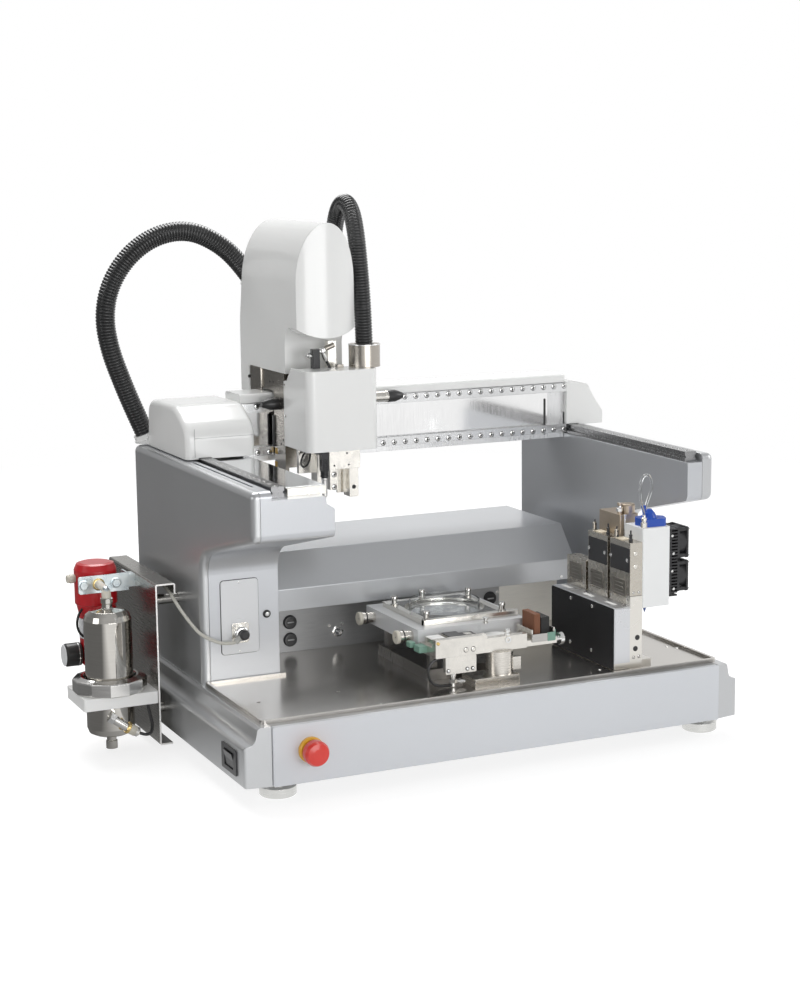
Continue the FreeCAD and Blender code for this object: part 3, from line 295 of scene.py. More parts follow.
def turned(profile, centre, axis=(0.0, 0.0, 1.0), around=32, flats=0, flat_rows=()):
    """A turned shape: at angle t ring i is centre + r_i (cos t a + sin t b) + h_i axis, profile being (r, h) in
    millimetres and centre one point or many. Rows in flat_rows have flats: r / cos of the angle from a flat."""
    profile = np.array(profile, float) / 1000.0
    axis = np.array(axis, float) / np.linalg.norm(axis)
    a = np.cross(axis, (0.0, 1.0, 0.0) if abs(axis[1]) < 0.9 else (1.0, 0.0, 0.0))
    a /= np.linalg.norm(a)
    b = np.cross(axis, a)
    t = np.linspace(0, 2 * np.pi, around, endpoint=False)
    r = np.repeat(profile[:, :1], around, 1)
    if flats:
        part = 2 * np.pi / flats
        for row in flat_rows:
            r[row] = r[row] / np.cos((t + part / 2) % part - part / 2)
    ring = r[..., None] * (np.cos(t)[:, None] * a + np.sin(t)[:, None] * b) + profile[:, 1, None, None] * axis
    return np.asarray(centre, float)[..., None, None, :] + ring


jacket = moulded("beige_jacket", (0.52, 0.51, 0.46), 0.5, 700.0, 0.00002, 0.0003)
sensor_line = drawn_line("sensor_cable_line", [(-0.3412, 0.0748, 0.257), (-0.3402, 0.0528, 0.253),
    (-0.3372, 0.0328, 0.239), (-0.3312, 0.0148, 0.224), (-0.3252, -0.0042, 0.211), (-0.3202, -0.0242, 0.201),
    (-0.3052, -0.0342, 0.192), (-0.2852, -0.0372, 0.1836), (-0.2690, -0.0402, 0.1858)])
cable = laid("sensor_cable_jacket", tube(sensor_line, 0.0026, (0.2, 0.3, 1.0), 20), jacket, sharp=60,
    stands_for=["sensor_cable"])
plug_black = moulded("plug_black", (0.03, 0.03, 0.032), 0.4, 900.0, 0.00002, 0.0004)
plug = laid("sensor_plug", turned([(0, 0), (7.8, 0), (7.8, 1.2), (7.2, 1.8), (7.2, 3), (7.8, 3.6), (7.8, 11),
    (6.4, 13), (4.5, 14), (4.5, 13.6), (0, 13.6)], put(-326, -62.9, 196), (0, -1, 0), 36, 18, (5, 6)), plug_black)
nickel_grey = moulded("boot_grey", (0.42, 0.42, 0.40), 0.4, 900.0, 0.00002, 0.0003)
boot = laid("sensor_boot", turned([(0, 0), (4.6, 0), (4.6, 4), (4.2, 4.6), (4.6, 5.2), (4.2, 6.6), (4.6, 7.2),
    (4.2, 8.6), (4.5, 9.2), (4.5, 17.4), (3.6, 18), (0, 18)], put(-339.5, -69, 186), (0.8, 0, 0.6), 24), nickel_grey)
drain_line = drawn_line("drain_cable_line", [(-0.4022, 0.0404, 0.041), (-0.3917, 0.0391, 0.0355),
    (-0.3802, 0.0428, 0.036), (-0.3742, 0.0538, 0.046), (-0.3752, 0.0658, 0.062), (-0.3762, 0.0728, 0.0808)])
drain = laid("drain_cable_jacket", tube(drain_line, 0.0024, (0.0, 1.0, 0.15), 18), plug_black, sharp=60,
    stands_for=["drain_cable"])


# The white studio: an endless pale floor and a white room, brighter at the back right and darker behind on the left,
# where the silver flanks' reflections lie. Both are white to the camera, and the floor keeps the machine's shadow.
def glow(place, strength):
    """White light of this strength."""
    return place.node("Emission", None, {"Color": (1, 1, 1, 1), "Strength": strength})


material, place = begin("studio_floor")
floor_half, floor_drop = 14, 0.0004
seen = place.node("LightPath", None, None, "Is Camera Ray")
mirrored = place.node("LightPath", None, None, "Is Glossy Ray")
through = place.node("LightPath", None, None, "Is Transmission Ray")
east = place.part("X")
north = place.part("Y")
corner = ((north * 0.9 - east - 0.10) * 2.0).kept(0.0, 1.0)
afar = ((east * east + north * north) * 0.14 - 0.25).kept(0.0, 1.0)
plain = place.node("BsdfDiffuse", None, {"Color": (0.60, 0.60, 0.60, 1)})
shown = place.node("AddShader", None, {0: place.node("BsdfDiffuse", None, {"Color": (0.36, 0.36, 0.36, 1)}),
    1: glow(place, 0.76)})
shown = place.node("MixShader", None, {0: afar, 1: shown, 2: glow(place, 1.0)})
# Seen in reflections the floor is a glow, not lit: strength 0.92, falling to 0.16 towards the back left (corner),
# painted light for the metals' reflections.
glossed = place.node("MixShader", None, {0: corner, 1: glow(place, 0.92), 2: glow(place, 0.16)})
both = place.node("MixShader", None, {0: mirrored.kept(0.0, 1.0), 1: place.node("MixShader", None,
    {0: (seen + through).kept(0.0, 1.0), 1: plain, 2: shown}), 2: glossed})
end = material.node_tree.nodes.new("ShaderNodeOutputMaterial")
material.node_tree.links.new(both.socket, end.inputs["Surface"])
u, v = np.meshgrid(*[np.linspace(-floor_half, floor_half, 15)] * 2)
floor = laid("studio_floor", np.stack([u, v, np.full_like(u, -floor_drop)], -1), material, None, wrap=False)

world = bpy.data.worlds.new("studio_room")
bpy.context.scene.world = world
world.use_nodes = True
world.node_tree.nodes.clear()
sky = Dab(world.node_tree)
way = sky.node("TexCoord", None, None, "Generated")
rise = way.part("Z")
right = way.part("X")
back = way.part("Y")
dim = ((back * 0.75 - right + 0.05) * 1.2).kept(0.0, 1.0)
lit = ((back * 0.8 + right * 0.6 - 0.2) * 1.3).kept(0.0, 1.0) * (1.0 - rise.kept(0.0, 1.0))
level = (0.50 + 0.62 * lit) * (1.0 - dim * 0.56)
camera_white = sky.node("LightPath", None, None, "Is Camera Ray")
glass_white = sky.node("LightPath", None, None, "Is Transmission Ray")
white = (camera_white + glass_white).kept(0.0, 1.0)
room = sky.node("Background", None, {"Color": (1.0, 1.0, 1.0, 1.0), "Strength": level * (1.0 - white) + white})
end = world.node_tree.nodes.new("ShaderNodeOutputWorld")
world.node_tree.links.new(room.socket, end.inputs["Surface"])


def softbox(name, place, aim, size, power):
    """A square lamp at place that faces aim."""
    lamp = bpy.data.lights.new(name, "AREA")
    lamp.shape = "RECTANGLE"
    lamp.size, lamp.size_y, lamp.energy = size[0], size[1], power
    holder = bpy.data.objects.new(name, lamp)
    bpy.context.scene.collection.objects.link(holder)
    holder.location = place
    turn = np.array(aim, float) - np.array(place, float)
    holder.rotation_euler = Vector(turn).to_track_quat("-Z", "Y").to_euler()


softbox("key_right", (3.0, -1.4, 1.6), (0, 0, 0.3), (1.6, 1.6), 24)
softbox("top_bank", (0.0, 1.5, 2.9), (0, 0, 0.4), (2.4, 1.8), 92)
softbox("front_fill", (0.0, -3.7, 0.75), (0, 0, 0.35), (2.6, 1.2), 43)
softbox("left_fill", (-3.4, -0.6, 1.1), (0, 0, 0.35), (1.6, 1.4), 16)


# The base: a welded chassis on four levelling feet, a flat front panel of cool grey paint and, on each side, a
# moulded skirt and tower skin in silver lacquer. The skins hook on behind and show a fine seam to the columns.
def dress(material, *names):
    """Gives these CAD nodes the material."""
    for name in names:
        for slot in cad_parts[name].material_slots:
            slot.material = material


def lacquered(name, colour, rough=0.38, flake=0.05, coat=0.25, edge=0.0009, silvering=0.0):
    """Sprayed lacquer: metallic flake as fine noise in the colour, orange peel in the bump, faint wiping marks in
    the roughness and a slightly lighter edge, from thinner paint and a painted highlight. silvering is the share of
    metal in the paint."""
    material, place = begin(name)
    rounded, rim = soft_edge(place, edge)
    cloud = noise(place, 5.0, 4.0)
    speck = noise(place, 2600.0, 1.0)
    wipes = noise(place, 22.0, 3.0, (1.0, 1.0, 5.0))
    dark = tinted(colour, 1 - flake)
    light = tinted(colour, 1 + flake)
    tone = ((cloud - 0.5) * 0.9 + (speck - 0.5) * 1.6 + 0.5).kept(0.0, 1.0).blend(dark, light)
    # The edges lighten to this colour: thinner paint there and a painted highlight.
    thin_paint_and_highlight = tinted(colour, 1.10, 0.015)
    peel = noise(place, 420.0, 2.0)
    bump = bumped(place, rounded, peel, 0.18, 0.00004)
    return close(material, place, Base_Color=(rim * 0.6).blend(tone, thin_paint_and_highlight), Roughness=rough + (wipes - 0.5) * 0.07,
        Metallic=silvering, Coat_Weight=coat, Coat_Roughness=0.12, Normal=bump)


def metal(name, colour, rough=0.28, grain=(1.0, 1.0, 1.0), scale=240.0, depth=0.00002, edge=0.0005, cloud=0.08):
    """Bare metal: brushing as noise stretched by grain, slow clouding in the roughness, edges lighter from wear and a
    painted highlight.
    """
    material, place = begin(name)
    rounded, rim = soft_edge(place, edge)
    brush = noise(place, scale, 3.0, grain)
    slow = noise(place, 12.0, 3.0)
    dark = tinted(colour, 1 - cloud)
    light = tinted(colour, 1 + cloud)
    tone = ((brush - 0.5) * 1.2 + (slow - 0.5) * 1.2 + 0.5).kept(0.0, 1.0).blend(dark, light)
    # The edges lighten to this colour: partly wear, partly a painted highlight.
    bright = tinted(colour, 1.15, 0.03)
    bump = bumped(place, rounded, brush, 0.3, depth)
    return close(material, place, Base_Color=(rim * 0.7).blend(tone, bright), Metallic=1.0,
        Roughness=(rough + (brush - 0.5) * 0.16 + (slow - 0.5) * 0.12).kept(0.03, 1.0), Normal=bump)


chassis_steel = metal("chassis_steel", (0.38, 0.385, 0.39), 0.5, (1, 1, 1), 60.0)
foot_steel = metal("foot_steel", (0.70, 0.70, 0.68), 0.26, (1, 1, 30), 60.0)
panel_grey = lacquered("panel_grey", (0.64, 0.66, 0.69), 0.42, 0.02, 0.1, silvering=0.15)
silver = lacquered("silver_lacquer", (0.57, 0.58, 0.59), 0.33, 0.06, 0.35, silvering=0.75)
dress(chassis_steel, "base_chassis")
dress(foot_steel, "levelling_feet")
dress(panel_grey, "front_panel")
dress(silver, "side_cover_left", "side_cover_right")


# The two columns with their forward arms: folded aluminium sheet, ground flush and sprayed in a paler silver, bolted
# to the chassis. The left one carries a socket plate with a nickel socket, and a captive screw beside it.
def slab(centre, across, up, wide, high, corner, profile, steps=4):
    """A plate with rounded corners: row i is the outline of a wide by high rectangle with that corner radius, drawn in
    by inset_i and raised by lift_i along across x up, profile being (inset, lift) in millimetres and centre one point
    or many. A row drawn into the middle closes each end."""
    across, up = (np.array(a, float) / np.linalg.norm(a) for a in (across, up))
    quarter = np.arange(4).repeat(steps + 1)
    t = quarter * np.pi / 2 + np.tile(np.linspace(0, np.pi / 2, steps + 1), 4)
    side = np.sign(np.stack([np.cos(quarter * np.pi / 2 + 0.7), np.sin(quarter * np.pi / 2 + 0.7)], -1))
    inset, lift = np.array(profile, float).T[:, :, None, None]
    r = np.maximum(corner - inset, 0.01)
    flat = side * (np.array([wide, high]) / 2 - inset - r) + r * np.stack([np.cos(t), np.sin(t)], -1)
    flat = np.concatenate([flat[:1] * 0, flat, flat[-1:] * 0])
    lift = np.concatenate([lift[:1], lift, lift[-1:]])
    ring = (flat[..., :1] * across + flat[..., 1:] * up + lift * np.cross(across, up)) / 1000.0
    return np.asarray(centre, float)[..., None, None, :] + ring


def edged(high, edge=0.4):
    """The profile of a plain block of this height with its edges eased."""
    return [(0, 0), (0, high - edge), (edge * 0.3, high - edge * 0.3), (edge, high), (edge * 1.5, high)]


def screw_head(radius, high, drive=0.5):
    """The profile of a cap screw's head with a recess; rows 1 and 2 take the recess's flats."""
    return [(0, high * 0.35), (radius * drive, high * 0.35), (radius * drive, high), (radius * 0.88, high),
        (radius, high * 0.8), (radius, 0), (0, 0)]


def screws(name, radius, high, centre, axis, around, material, body):
    """Cap screws with a six-sided recess, all one piece."""
    laid(name, turned(screw_head(radius, high), centre, axis, around, 6, (1, 2)), material, body)


FRONT, LEFT, TOP = ((1, 0, 0), (0, 0, 1)), ((0, -1, 0), (0, 0, 1)), ((1, 0, 0), (0, 1, 0))
pale_silver = lacquered("pale_silver_lacquer", (0.57, 0.585, 0.61), 0.32, 0.05, 0.3, silvering=0.6)
dress(pale_silver, "column_left", "column_right")
plate_white = lacquered("plate_white", (0.74, 0.75, 0.765), 0.4, 0.015, 0.1)
dress(plate_white, "connector_plate")
# A matte black for black parts, and for holes, slots and gaps, where it is painted shade.
black_and_shade = moulded("black_and_shade", (0.018, 0.018, 0.019), 0.6)
bright_steel = metal("bright_steel", (0.80, 0.80, 0.79), 0.16, (1, 1, 1), 300.0, 0.000005, 0.0002)
nickel = metal("nickel_plate", (0.80, 0.775, 0.725), 0.24, (1, 1, 1), 90.0, 0.00001)
# A black sheet behind the socket plate: its thin margin is painted shade of the gap round the plate.
laid("plate_shadow_gap", slab(put(-325.2, -50.0, 220.7), *FRONT, 62.0, 116.8, 6.0, [(0, 0), (0, 0.6), (0.2, 0.7)]),
    black_and_shade, "base", sharp=60)
laid("socket_flange", slab(put(-326, -53.9, 196), *FRONT, 27.6, 31.6, 4.2, edged(1.3, 0.5)), nickel)
laid("socket_ring", turned([(0, 0), (11.4, 0), (11.4, 2.2), (10.9, 2.6), (11.4, 3.0), (11.4, 7.0), (10.4, 8.4),
    (9.0, 9.2), (0, 9.3)], put(-326, -55.0, 196), (0, -1, 0), 48, 24, (4, 5)), bright_steel)
corners = [(x, z) for x in (-335.6, -316.4) for z in (184.4, 207.6)]
screws("socket_screws", 1.5, 0.8, puts([(x, -55.2, z) for x, z in corners]), (0, -1, 0), 12, bright_steel, "base")
screws("plate_screws", 1.3, 0.5, puts([(-326.5, -52.0, z) for z in (274.4, 166.6)]), (0, -1, 0), 12, bright_steel,
    "base")
laid("socket_tag", slab(put(-329.0, -52.0, 215.5), *FRONT, 21, 5.0, 0.8, edged(0.25, 0.1)), plate_white)
captive = put(-281.0, -50.1, 220.0)
laid("captive_screw_ring", turned([(0, 0), (6.2, 0), (6.2, 1.4), (5.2, 2.0), (4.6, 2.0), (0, 1.9)], captive,
    (0, -1, 0), 32), black_and_shade)
laid("captive_screw", turned([(0, 2.6), (1.7, 2.6), (1.9, 4.6), (3.2, 4.4), (3.7, 3.6), (3.7, 0.5), (0, 0.5)], captive,
    (0, -1, 0), 24, 4, (1, 2)), foot_steel)


# The work deck: one tray of brushed stainless sheet with a rolled rim, screwed down near the magazine.
deck_steel = metal("deck_stainless", (0.62, 0.595, 0.56), 0.22, (1.2, 45.0, 1.0), 26.0, 0.000012)
dress(deck_steel, "deck_tray")
deck_spots = [(192.4, -252.4), (363.5, -176.0), (372.0, -192.0), (-190.0, -270.0), (60.0, -272.0)]
screws("deck_screws", 2.6, 1.0, puts([(x, y, 121.0) for x, y in deck_spots]), (0, 0, 1), 16, bright_steel, "base")


# The rear housing: folded sheet in the same silver, its upper edge turned over as a long lip. Under the lip stands the
# service panel with slotted fuse caps and a toggle switch, and at its right a bare nickelled plate.
def zone(place, low, high):
    """A mask that is 1 between the corners low and high, in the machine's own millimetres."""
    mask = 1.0
    for axis, first, last in zip("XYZ", put(*low).tolist(), put(*high).tolist()):
        along_axis = place.part(axis)
        mask = mask * (along_axis > first) * (along_axis < last)
    return mask


FAR = 2000.0
housing_silver = lacquered("housing_silver", (0.54, 0.555, 0.575), 0.30, 0.05, 0.3, silvering=0.6)
dress(housing_silver, "rear_housing")
material, place = begin("service_panel_finish")
rounded, rim = soft_edge(place, 0.0006)
brush = noise(place, 40.0, 3.0, (1, 1, 20))
plated = zone(place, (187.6, -FAR, -FAR), (FAR, FAR, FAR))
tone = plated.blend((0.36, 0.365, 0.375, 1), (0.90, 0.88, 0.82, 1))
bump = bumped(place, rounded, brush, 0.3, 0.00002)
close(material, place, Base_Color=((brush - 0.3) * 0.5).kept(0.0, 0.3).blend(tone, (0.62, 0.62, 0.6, 1)),
    Metallic=0.45 - plated * 0.3, Roughness=0.34 + (brush - 0.5) * 0.2, Normal=bump)
dress(material, "rear_panels")
dress(metal("toggle_chrome", (0.80, 0.80, 0.80), 0.10), "toggle_lever")
cap_black = moulded("fuse_cap_black", (0.022, 0.022, 0.024), 0.3, 900.0, 0.00001, 0.0006, 0.3)
caps = puts([(x, 75.1, z) for x, z in ((-193.8, 170.6), (-193.8, 141.7), (170.0, 171.7))])
laid("fuse_caps", turned([(0, 0), (11.6, 0), (11.6, 1.4), (10.9, 1.8), (10.9, 4.0), (10.0, 5.0), (7.4, 5.1),
    (7.0, 4.5), (0, 4.5)], caps, (0, -1, 0), 40), cap_black)
laid("fuse_cap_slots", slab(caps, *FRONT, 11.6, 2.2, 0.6, [(0, 4.4), (0, 5.0), (0.3, 5.2)]), chassis_steel)
nut = [(6.4, 0), (8.6, 0), (8.6, 1.6), (7.8, 2.2), (6.4, 2.2), (6.4, 0)]
laid("toggle_nut", turned(nut, put(-110.2, 75.0, 146.2), (0, -1, 0), 36, 6, (1, 2)), bright_steel)
panel_spots = [(-125.1, 75.0, 157.0), (-102.1, 75.0, 157.9), (-210.8, 75.0, 192.5), (184.0, 75.0, 181.0),
    (275.7, 17.0, 209.4), (-254.0, 17.0, 209.4), (20.0, 17.0, 209.4)]
screws("housing_screws", 2.7, 1.3, puts(panel_spots), (0, -1, 0), 16, bright_steel, "base")
back_face = 261.5
# The vents are black slats on the back face: painted shade of their openings.
vent_rows = puts([(x, back_face, 150 + 9 * i) for x in (-180, -80, 120, 220) for i in range(9)])
laid("housing_vents", slab(vent_rows, (-1, 0, 0), (0, 0, 1), 70, 3.2, 1.5, [(0, 0), (0, 0.35), (0.3, 0.45)], 2),
    black_and_shade)
back_spots = puts([(x, back_face, z) for x in (-245, 20, 285) for z in (132, 276)])
screws("housing_back_screws", 3.2, 1.6, back_spots, (0, 1, 0), 16, bright_steel, "base")


# Rails and strip on the arms: ground rail steel held by a cap screw every 20 mm, its head sunk in a counterbore, and a
# polished stainless strip that covers the left channel and is folded over its front end.
material, place = begin("arm_rail_steel")
rounded, rim = soft_edge(place, 0.0005)
brush = noise(place, 60.0, 3.0, (1, 30, 1))
strip = zone(place, (-327.0, -FAR, -FAR), (-262.0, FAR, FAR))
stop = zone(place, (-327.0, -FAR, -FAR), (-262.0, -250.1, FAR))
tone = strip.blend((0.34, 0.34, 0.345, 1), (0.74, 0.75, 0.76, 1))
tone = stop.blend(tone, (0.84, 0.82, 0.76, 1))
bump = bumped(place, rounded, brush, 0.25, 0.00001)
# The edges lighten through rim: partly wear, partly a painted highlight.
close(material, place, Base_Color=(rim * 0.6).blend(tone, (0.85, 0.85, 0.85, 1)), Metallic=1.0,
    Roughness=(0.27 - strip * 0.17 + stop * 0.16 + (brush - 0.5) * 0.1).kept(0.04, 1.0), Normal=bump)
dress(material, "arm_rails")
dress(metal("runner_steel", (0.5, 0.5, 0.5), 0.25), "rail_runners")


screw_pitch = 20


def rail_screws(name, spots, axis, body):
    """The sunk screws of a rail as thin discs: a bright head, and its counterbore and socket in black as painted shade.
    """
    laid(name + "_bores", turned([(0, 0), (4.5, 0), (4.4, 0.05), (0, 0.05)], spots, axis, 16), black_and_shade, body)
    laid(name + "_heads", turned([(0, 0), (3.7, 0.04), (3.5, 0.12), (0, 0.12)], spots, axis, 16), bright_steel, body)
    laid(name + "_sockets", turned([(0, 0.1), (1.7, 0.1), (1.6, 0.16), (0, 0.16)], spots, axis, 12, 6, (1, 2)),
        black_and_shade, body)


rail_screws("arm_rail_screw", puts([(x, y, 454.0) for x in (-341.0, 347.0) for y in range(-252, 232, screw_pitch)]),
    (0, 0, 1), "base")
# A black strip in the left arm's slot: painted shade inside it.
laid("arm_slot_shade", slab(put(-365.7, -97.0, 436.5), *TOP, 3.7, 262.0, 1.6, [(0, 0), (0, 1.0), (0.2, 1.1)]),
    black_and_shade)


# Mains switch and emergency stop: a snap-in rocker switch in the left skirt, and a red mushroom button on its collar.
dress(moulded("switch_black", (0.022, 0.023, 0.025), 0.32, 900.0, 0.00001, 0.0006, 0.2), "switch_bezel",
    "switch_rocker")
dress(moulded("stop_red", (0.66, 0.030, 0.018), 0.30, 900.0, 0.00001, 0.0012, 0.3), "estop_button")
dress(moulded("collar_yellow", (0.78, 0.40, 0.02), 0.36, 900.0, 0.00001, 0.0008, 0.15), "estop_collar")


# The compressed air filter set on its folded stainless bracket at the left: white block, faceted clamp ring, polished
# vessel and bowl, and behind them a red regulator with its knob, zinc strap, elbow and tee.
def lead(name, points, radius, side, around, material, body):
    """A free cord along a spline with these control points; its length is measured but not used."""
    line = drawn_line(name + "_line", puts(points))
    piece = laid(name, tube(line, radius, side, around), material, body, sharp=60)
    length = float(np.linalg.norm(np.diff(line, axis=0), axis=1).sum())


material, place = begin("bracket_stainless")
rounded, rim = soft_edge(place, 0.0005)
brush = noise(place, 30.0, 3.0, (1, 1, 40))
cut = zone(place, (-FAR, -FAR, -FAR), (FAR, 15.9, FAR))
tone = cut.blend((0.36, 0.35, 0.33, 1), (0.93, 0.92, 0.90, 1))
bump = bumped(place, rounded, brush, 0.2, 0.000006)
# The edges lighten through rim: partly wear, partly a painted highlight.
close(material, place, Base_Color=(rim * 0.7).blend(tone, (0.9, 0.9, 0.88, 1)), Metallic=1.0 - cut * 0.5,
    Roughness=(0.27 + cut * 0.05 + (brush - 0.5) * 0.12).kept(0.03, 1.0), Normal=bump)
dress(material, "filter_bracket")
dress(moulded("block_white", (0.84, 0.84, 0.83), 0.4, 500.0, 0.00001, 0.0012, 0.1), "filter_block")
polished = metal("polished_vessel", (0.66, 0.64, 0.60), 0.07, (1, 1, 60), 20.0, 0.000004, 0.0008)
dress(polished, "filter_housing", "filter_bowl")
clamp_alloy = metal("clamp_alloy", (0.80, 0.79, 0.77), 0.16, (1, 1, 20), 30.0, 0.000008)
laid("clamp_ring", turned([(41, 0), (54.4, 0), (55.4, 1.0), (55.4, 18.6), (54.2, 20.4), (48.5, 22.2), (44.6, 23.9),
    (41.6, 23.2), (40.6, 21.0), (41, 0)], put(-500.6, 62, 101.1), (0, 0, 1), 96, 12, (1, 2, 3, 4)), clamp_alloy,
    sharp=16, stands_for=["filter_clamp"])
dress(lacquered("regulator_red", (0.50, 0.008, 0.014), 0.30, 0.05, 0.3), "regulator_body")
dress(moulded("knob_black", (0.022, 0.022, 0.022), 0.35, 300.0), "regulator_knob")
material, place = begin("zinc_plate")
rounded, rim = soft_edge(place, 0.0005)
cloud = noise(place, 90.0, 4.0)
chromed = zone(place, (-FAR, -FAR, -FAR), (FAR, FAR, 150.0))
tone = ((cloud - 0.3) * 2.0).kept(0.0, 1.0).blend((0.58, 0.66, 0.70, 1), (0.76, 0.80, 0.80, 1))
bump = bumped(place, rounded, cloud, 0.2, 0.00001)
close(material, place, Base_Color=chromed.blend(tone, (0.78, 0.77, 0.74, 1)), Metallic=1.0,
    Roughness=(0.3 - chromed * 0.16 + (cloud - 0.5) * 0.2).kept(0.05, 1.0), Normal=bump)
dress(material, "filter_fittings")
bolt_head = [(0, 4.6), (2.6, 4.6), (3.0, 5.8), (5.6, 5.8), (6.4, 5.2), (6.4, 1.5), (8.6, 1.3), (8.6, 0), (0, 0)]
bolts = puts([(x, 113.0, 257.0) for x in (-522.0, -470.0)])
laid("strap_bolts", turned(bolt_head, bolts, (0, -1, 0), 24, 6, (3, 4, 5)), material)
laid("strap_side_bolt", turned(bolt_head, put(-437.0, 129.0, 257.0), (-1, 0, 0), 24, 6, (3, 4, 5)), material)
brass = metal("brass", (0.80, 0.60, 0.26), 0.22)
laid("elbow_ring", turned([(5.6, 0), (9.6, 0), (9.6, 2.6), (8.4, 3.4), (5.6, 3.4), (5.6, 0)], put(-498, 113.0, 257),
    (0, -1, 0), 32), brass, "base")
beige = moulded("fitting_beige", (0.60, 0.57, 0.49), 0.38, 500.0, 0.00001, 0.0008, 0.1)
elbow_line = drawn_line("elbow_line", [put(-498, 112.6, 257), put(-499.2, 92, 258), put(-500.4, 74, 259),
    put(-500.6, 62.4, 256), put(-500.6, 62, 245.4)])
sleeve_radius = np.interp(np.linspace(0, 1, 40), [0, 0.12, 0.16, 0.8, 0.86, 1], [7.4, 7.4, 6.0, 5.9, 7.2, 7.2]) / 1000
laid("elbow_sleeve", tube(elbow_line, sleeve_radius, (1, 0, 0), 28, 40), beige, sharp=50)
laid("port_cap", turned([(0, 0), (6.3, 0), (6.3, 2), (7.2, 2.4), (7.2, 8.5), (6.2, 9.4), (6.2, 12.4), (5.2, 13.4),
    (0, 13.4)], put(-525.2, 150, 262), (-1, 0, 0), 28), beige)
laid("sight_band", turned([(0, 0), (28.5, 0), (28.5, 32), (0, 32)], put(-492, 150, 166), (0, 0, 1), 48), plate_white)
laid("knob_disc", turned([(0, 0), (17.0, 0), (17.0, 0.5), (16.2, 1.1), (0, 1.2)], put(-547.2, 150, 140), (-1, 0, 0),
    48), plate_white, "pressure_knob")
laid("knob_groove", turned([(18.0, 5.0), (18.75, 5.2), (18.75, 6.4), (18.0, 6.6), (18.0, 5.0)], put(-520.3, 150, 140),
    (-1, 0, 0), 64), bright_steel, "pressure_knob")
tee_way = (0.85, -0.1, -0.5)
tee_start = put(-490.5, 13.6, 51.3)
laid("tee_ring", turned([(0, 0), (8.6, 0), (9.4, 0.8), (9.4, 4.4), (8.4, 5.4), (0, 5.4)], tee_start, tee_way, 36, 12,
    (2, 3)), brass)
laid("tee_boot", turned([(0, 5), (8.0, 5), (8.2, 8), (8.2, 15), (7.0, 17), (6.6, 20.5), (4.6, 22), (0, 22)], tee_start,
    tee_way, 32), beige)
laid("tee_nut", turned([(0, 0), (7.8, 0), (7.8, 9), (6.8, 10), (0, 10)], put(-516, 16.9, 70), (0.75, -0.1, -0.55), 36,
    6, (1, 2)), bright_steel)
hose_black_gloss = moulded("small_hose_black", (0.014, 0.014, 0.015), 0.25, 900.0, 0.000005, 0.0003, 0.2)
lead("regulator_tube", [(-516, 138, 217), (-522, 136, 212), (-527, 135, 203), (-529, 134.5, 192), (-527, 135, 181),
    (-521, 136, 172), (-514, 138, 167)], 0.0020, (0, 1, 0), 18, hose_black_gloss, "base")


# The platform: a steel plinth with four posts and a white polymer tray. A nickelled clamp frame with a grey acrylic
# field is bolted on it by five pins, and the clear dish lies in its round window.
dress(metal("plinth_steel", (0.30, 0.29, 0.28), 0.3, (1, 20, 1), 40.0), "platform_plinth")
dress(moulded("tray_white", (0.60, 0.61, 0.62), 0.30, 600.0, 0.00001, 0.0008, 0.25), "platform_tray")
material, place = begin("clamp_frame_finish")
rounded, rim = soft_edge(place, 0.0006)
brush = noise(place, 90.0, 3.0, (1, 12, 1))
field = zone(place, (-58.0, -157.0, 209.5), (63.0, -28.0, FAR))
tone = field.blend((0.78, 0.76, 0.71, 1), (0.07, 0.07, 0.068, 1))
bump = bumped(place, rounded, brush, 0.25, 0.00001)
# The edges lighten through rim: partly wear, partly a painted highlight.
close(material, place, Base_Color=(rim * 0.7).blend(tone, (0.92, 0.91, 0.88, 1)), Metallic=1.0 - field,
    Roughness=(0.22 + field * 0.05 + (brush - 0.5) * 0.12).kept(0.03, 1.0), Normal=bump)
dress(material, "clamp_frame")
laid("frame_front_bar", slab(put(11.5, -165.0, 202.0), *TOP, 163.0, 11.0, 1.0, edged(8.6, 0.5)), nickel)
laid("dish_seat", turned([(0, 0), (59.5, 0), (59.5, 0.2), (0, 0.22)], put(2.5, -92.5, 202.0), (0, 0, 1), 72),
    chassis_steel)
pin_steel = metal("pin_steel", (0.52, 0.51, 0.49), 0.14, (1, 1, 8), 60.0)
pins = puts([(x, y, 210.0) for x, y in ((-63, -162), (68, -162), (-63, -46), (68, -46), (-3.5, -22))])
laid("frame_pins", turned([(0, 0), (6.6, 0), (6.6, 1.8), (5.0, 2.3), (4.5, 2.6), (4.5, 8.4), (5.4, 8.8), (5.4, 12.6),
    (4.6, 14.2), (0, 14.4)], pins, (0, 0, 1), 28), pin_steel)


def clear(name, colour=(0.97, 0.98, 0.98, 1.0), rough=0.02):
    """Clear polymer: it lets light through, with faint moulding haze in the roughness."""
    material, place = begin(name)
    haze = noise(place, 60.0, 2.0)
    rounded, rim = soft_edge(place, 0.0003)
    # The edges are blended towards white: a painted highlight.
    return close(material, place, Base_Color=(rim * 0.4).blend(colour, (1, 1, 1, 1)),
        Roughness=(rough + (haze - 0.4) * 0.08).kept(0.0, 0.2), Transmission_Weight=1.0, IOR=1.35, Normal=rounded)


dish_clear = clear("clear_polystyrene")
dress(dish_clear, "petri_dish")


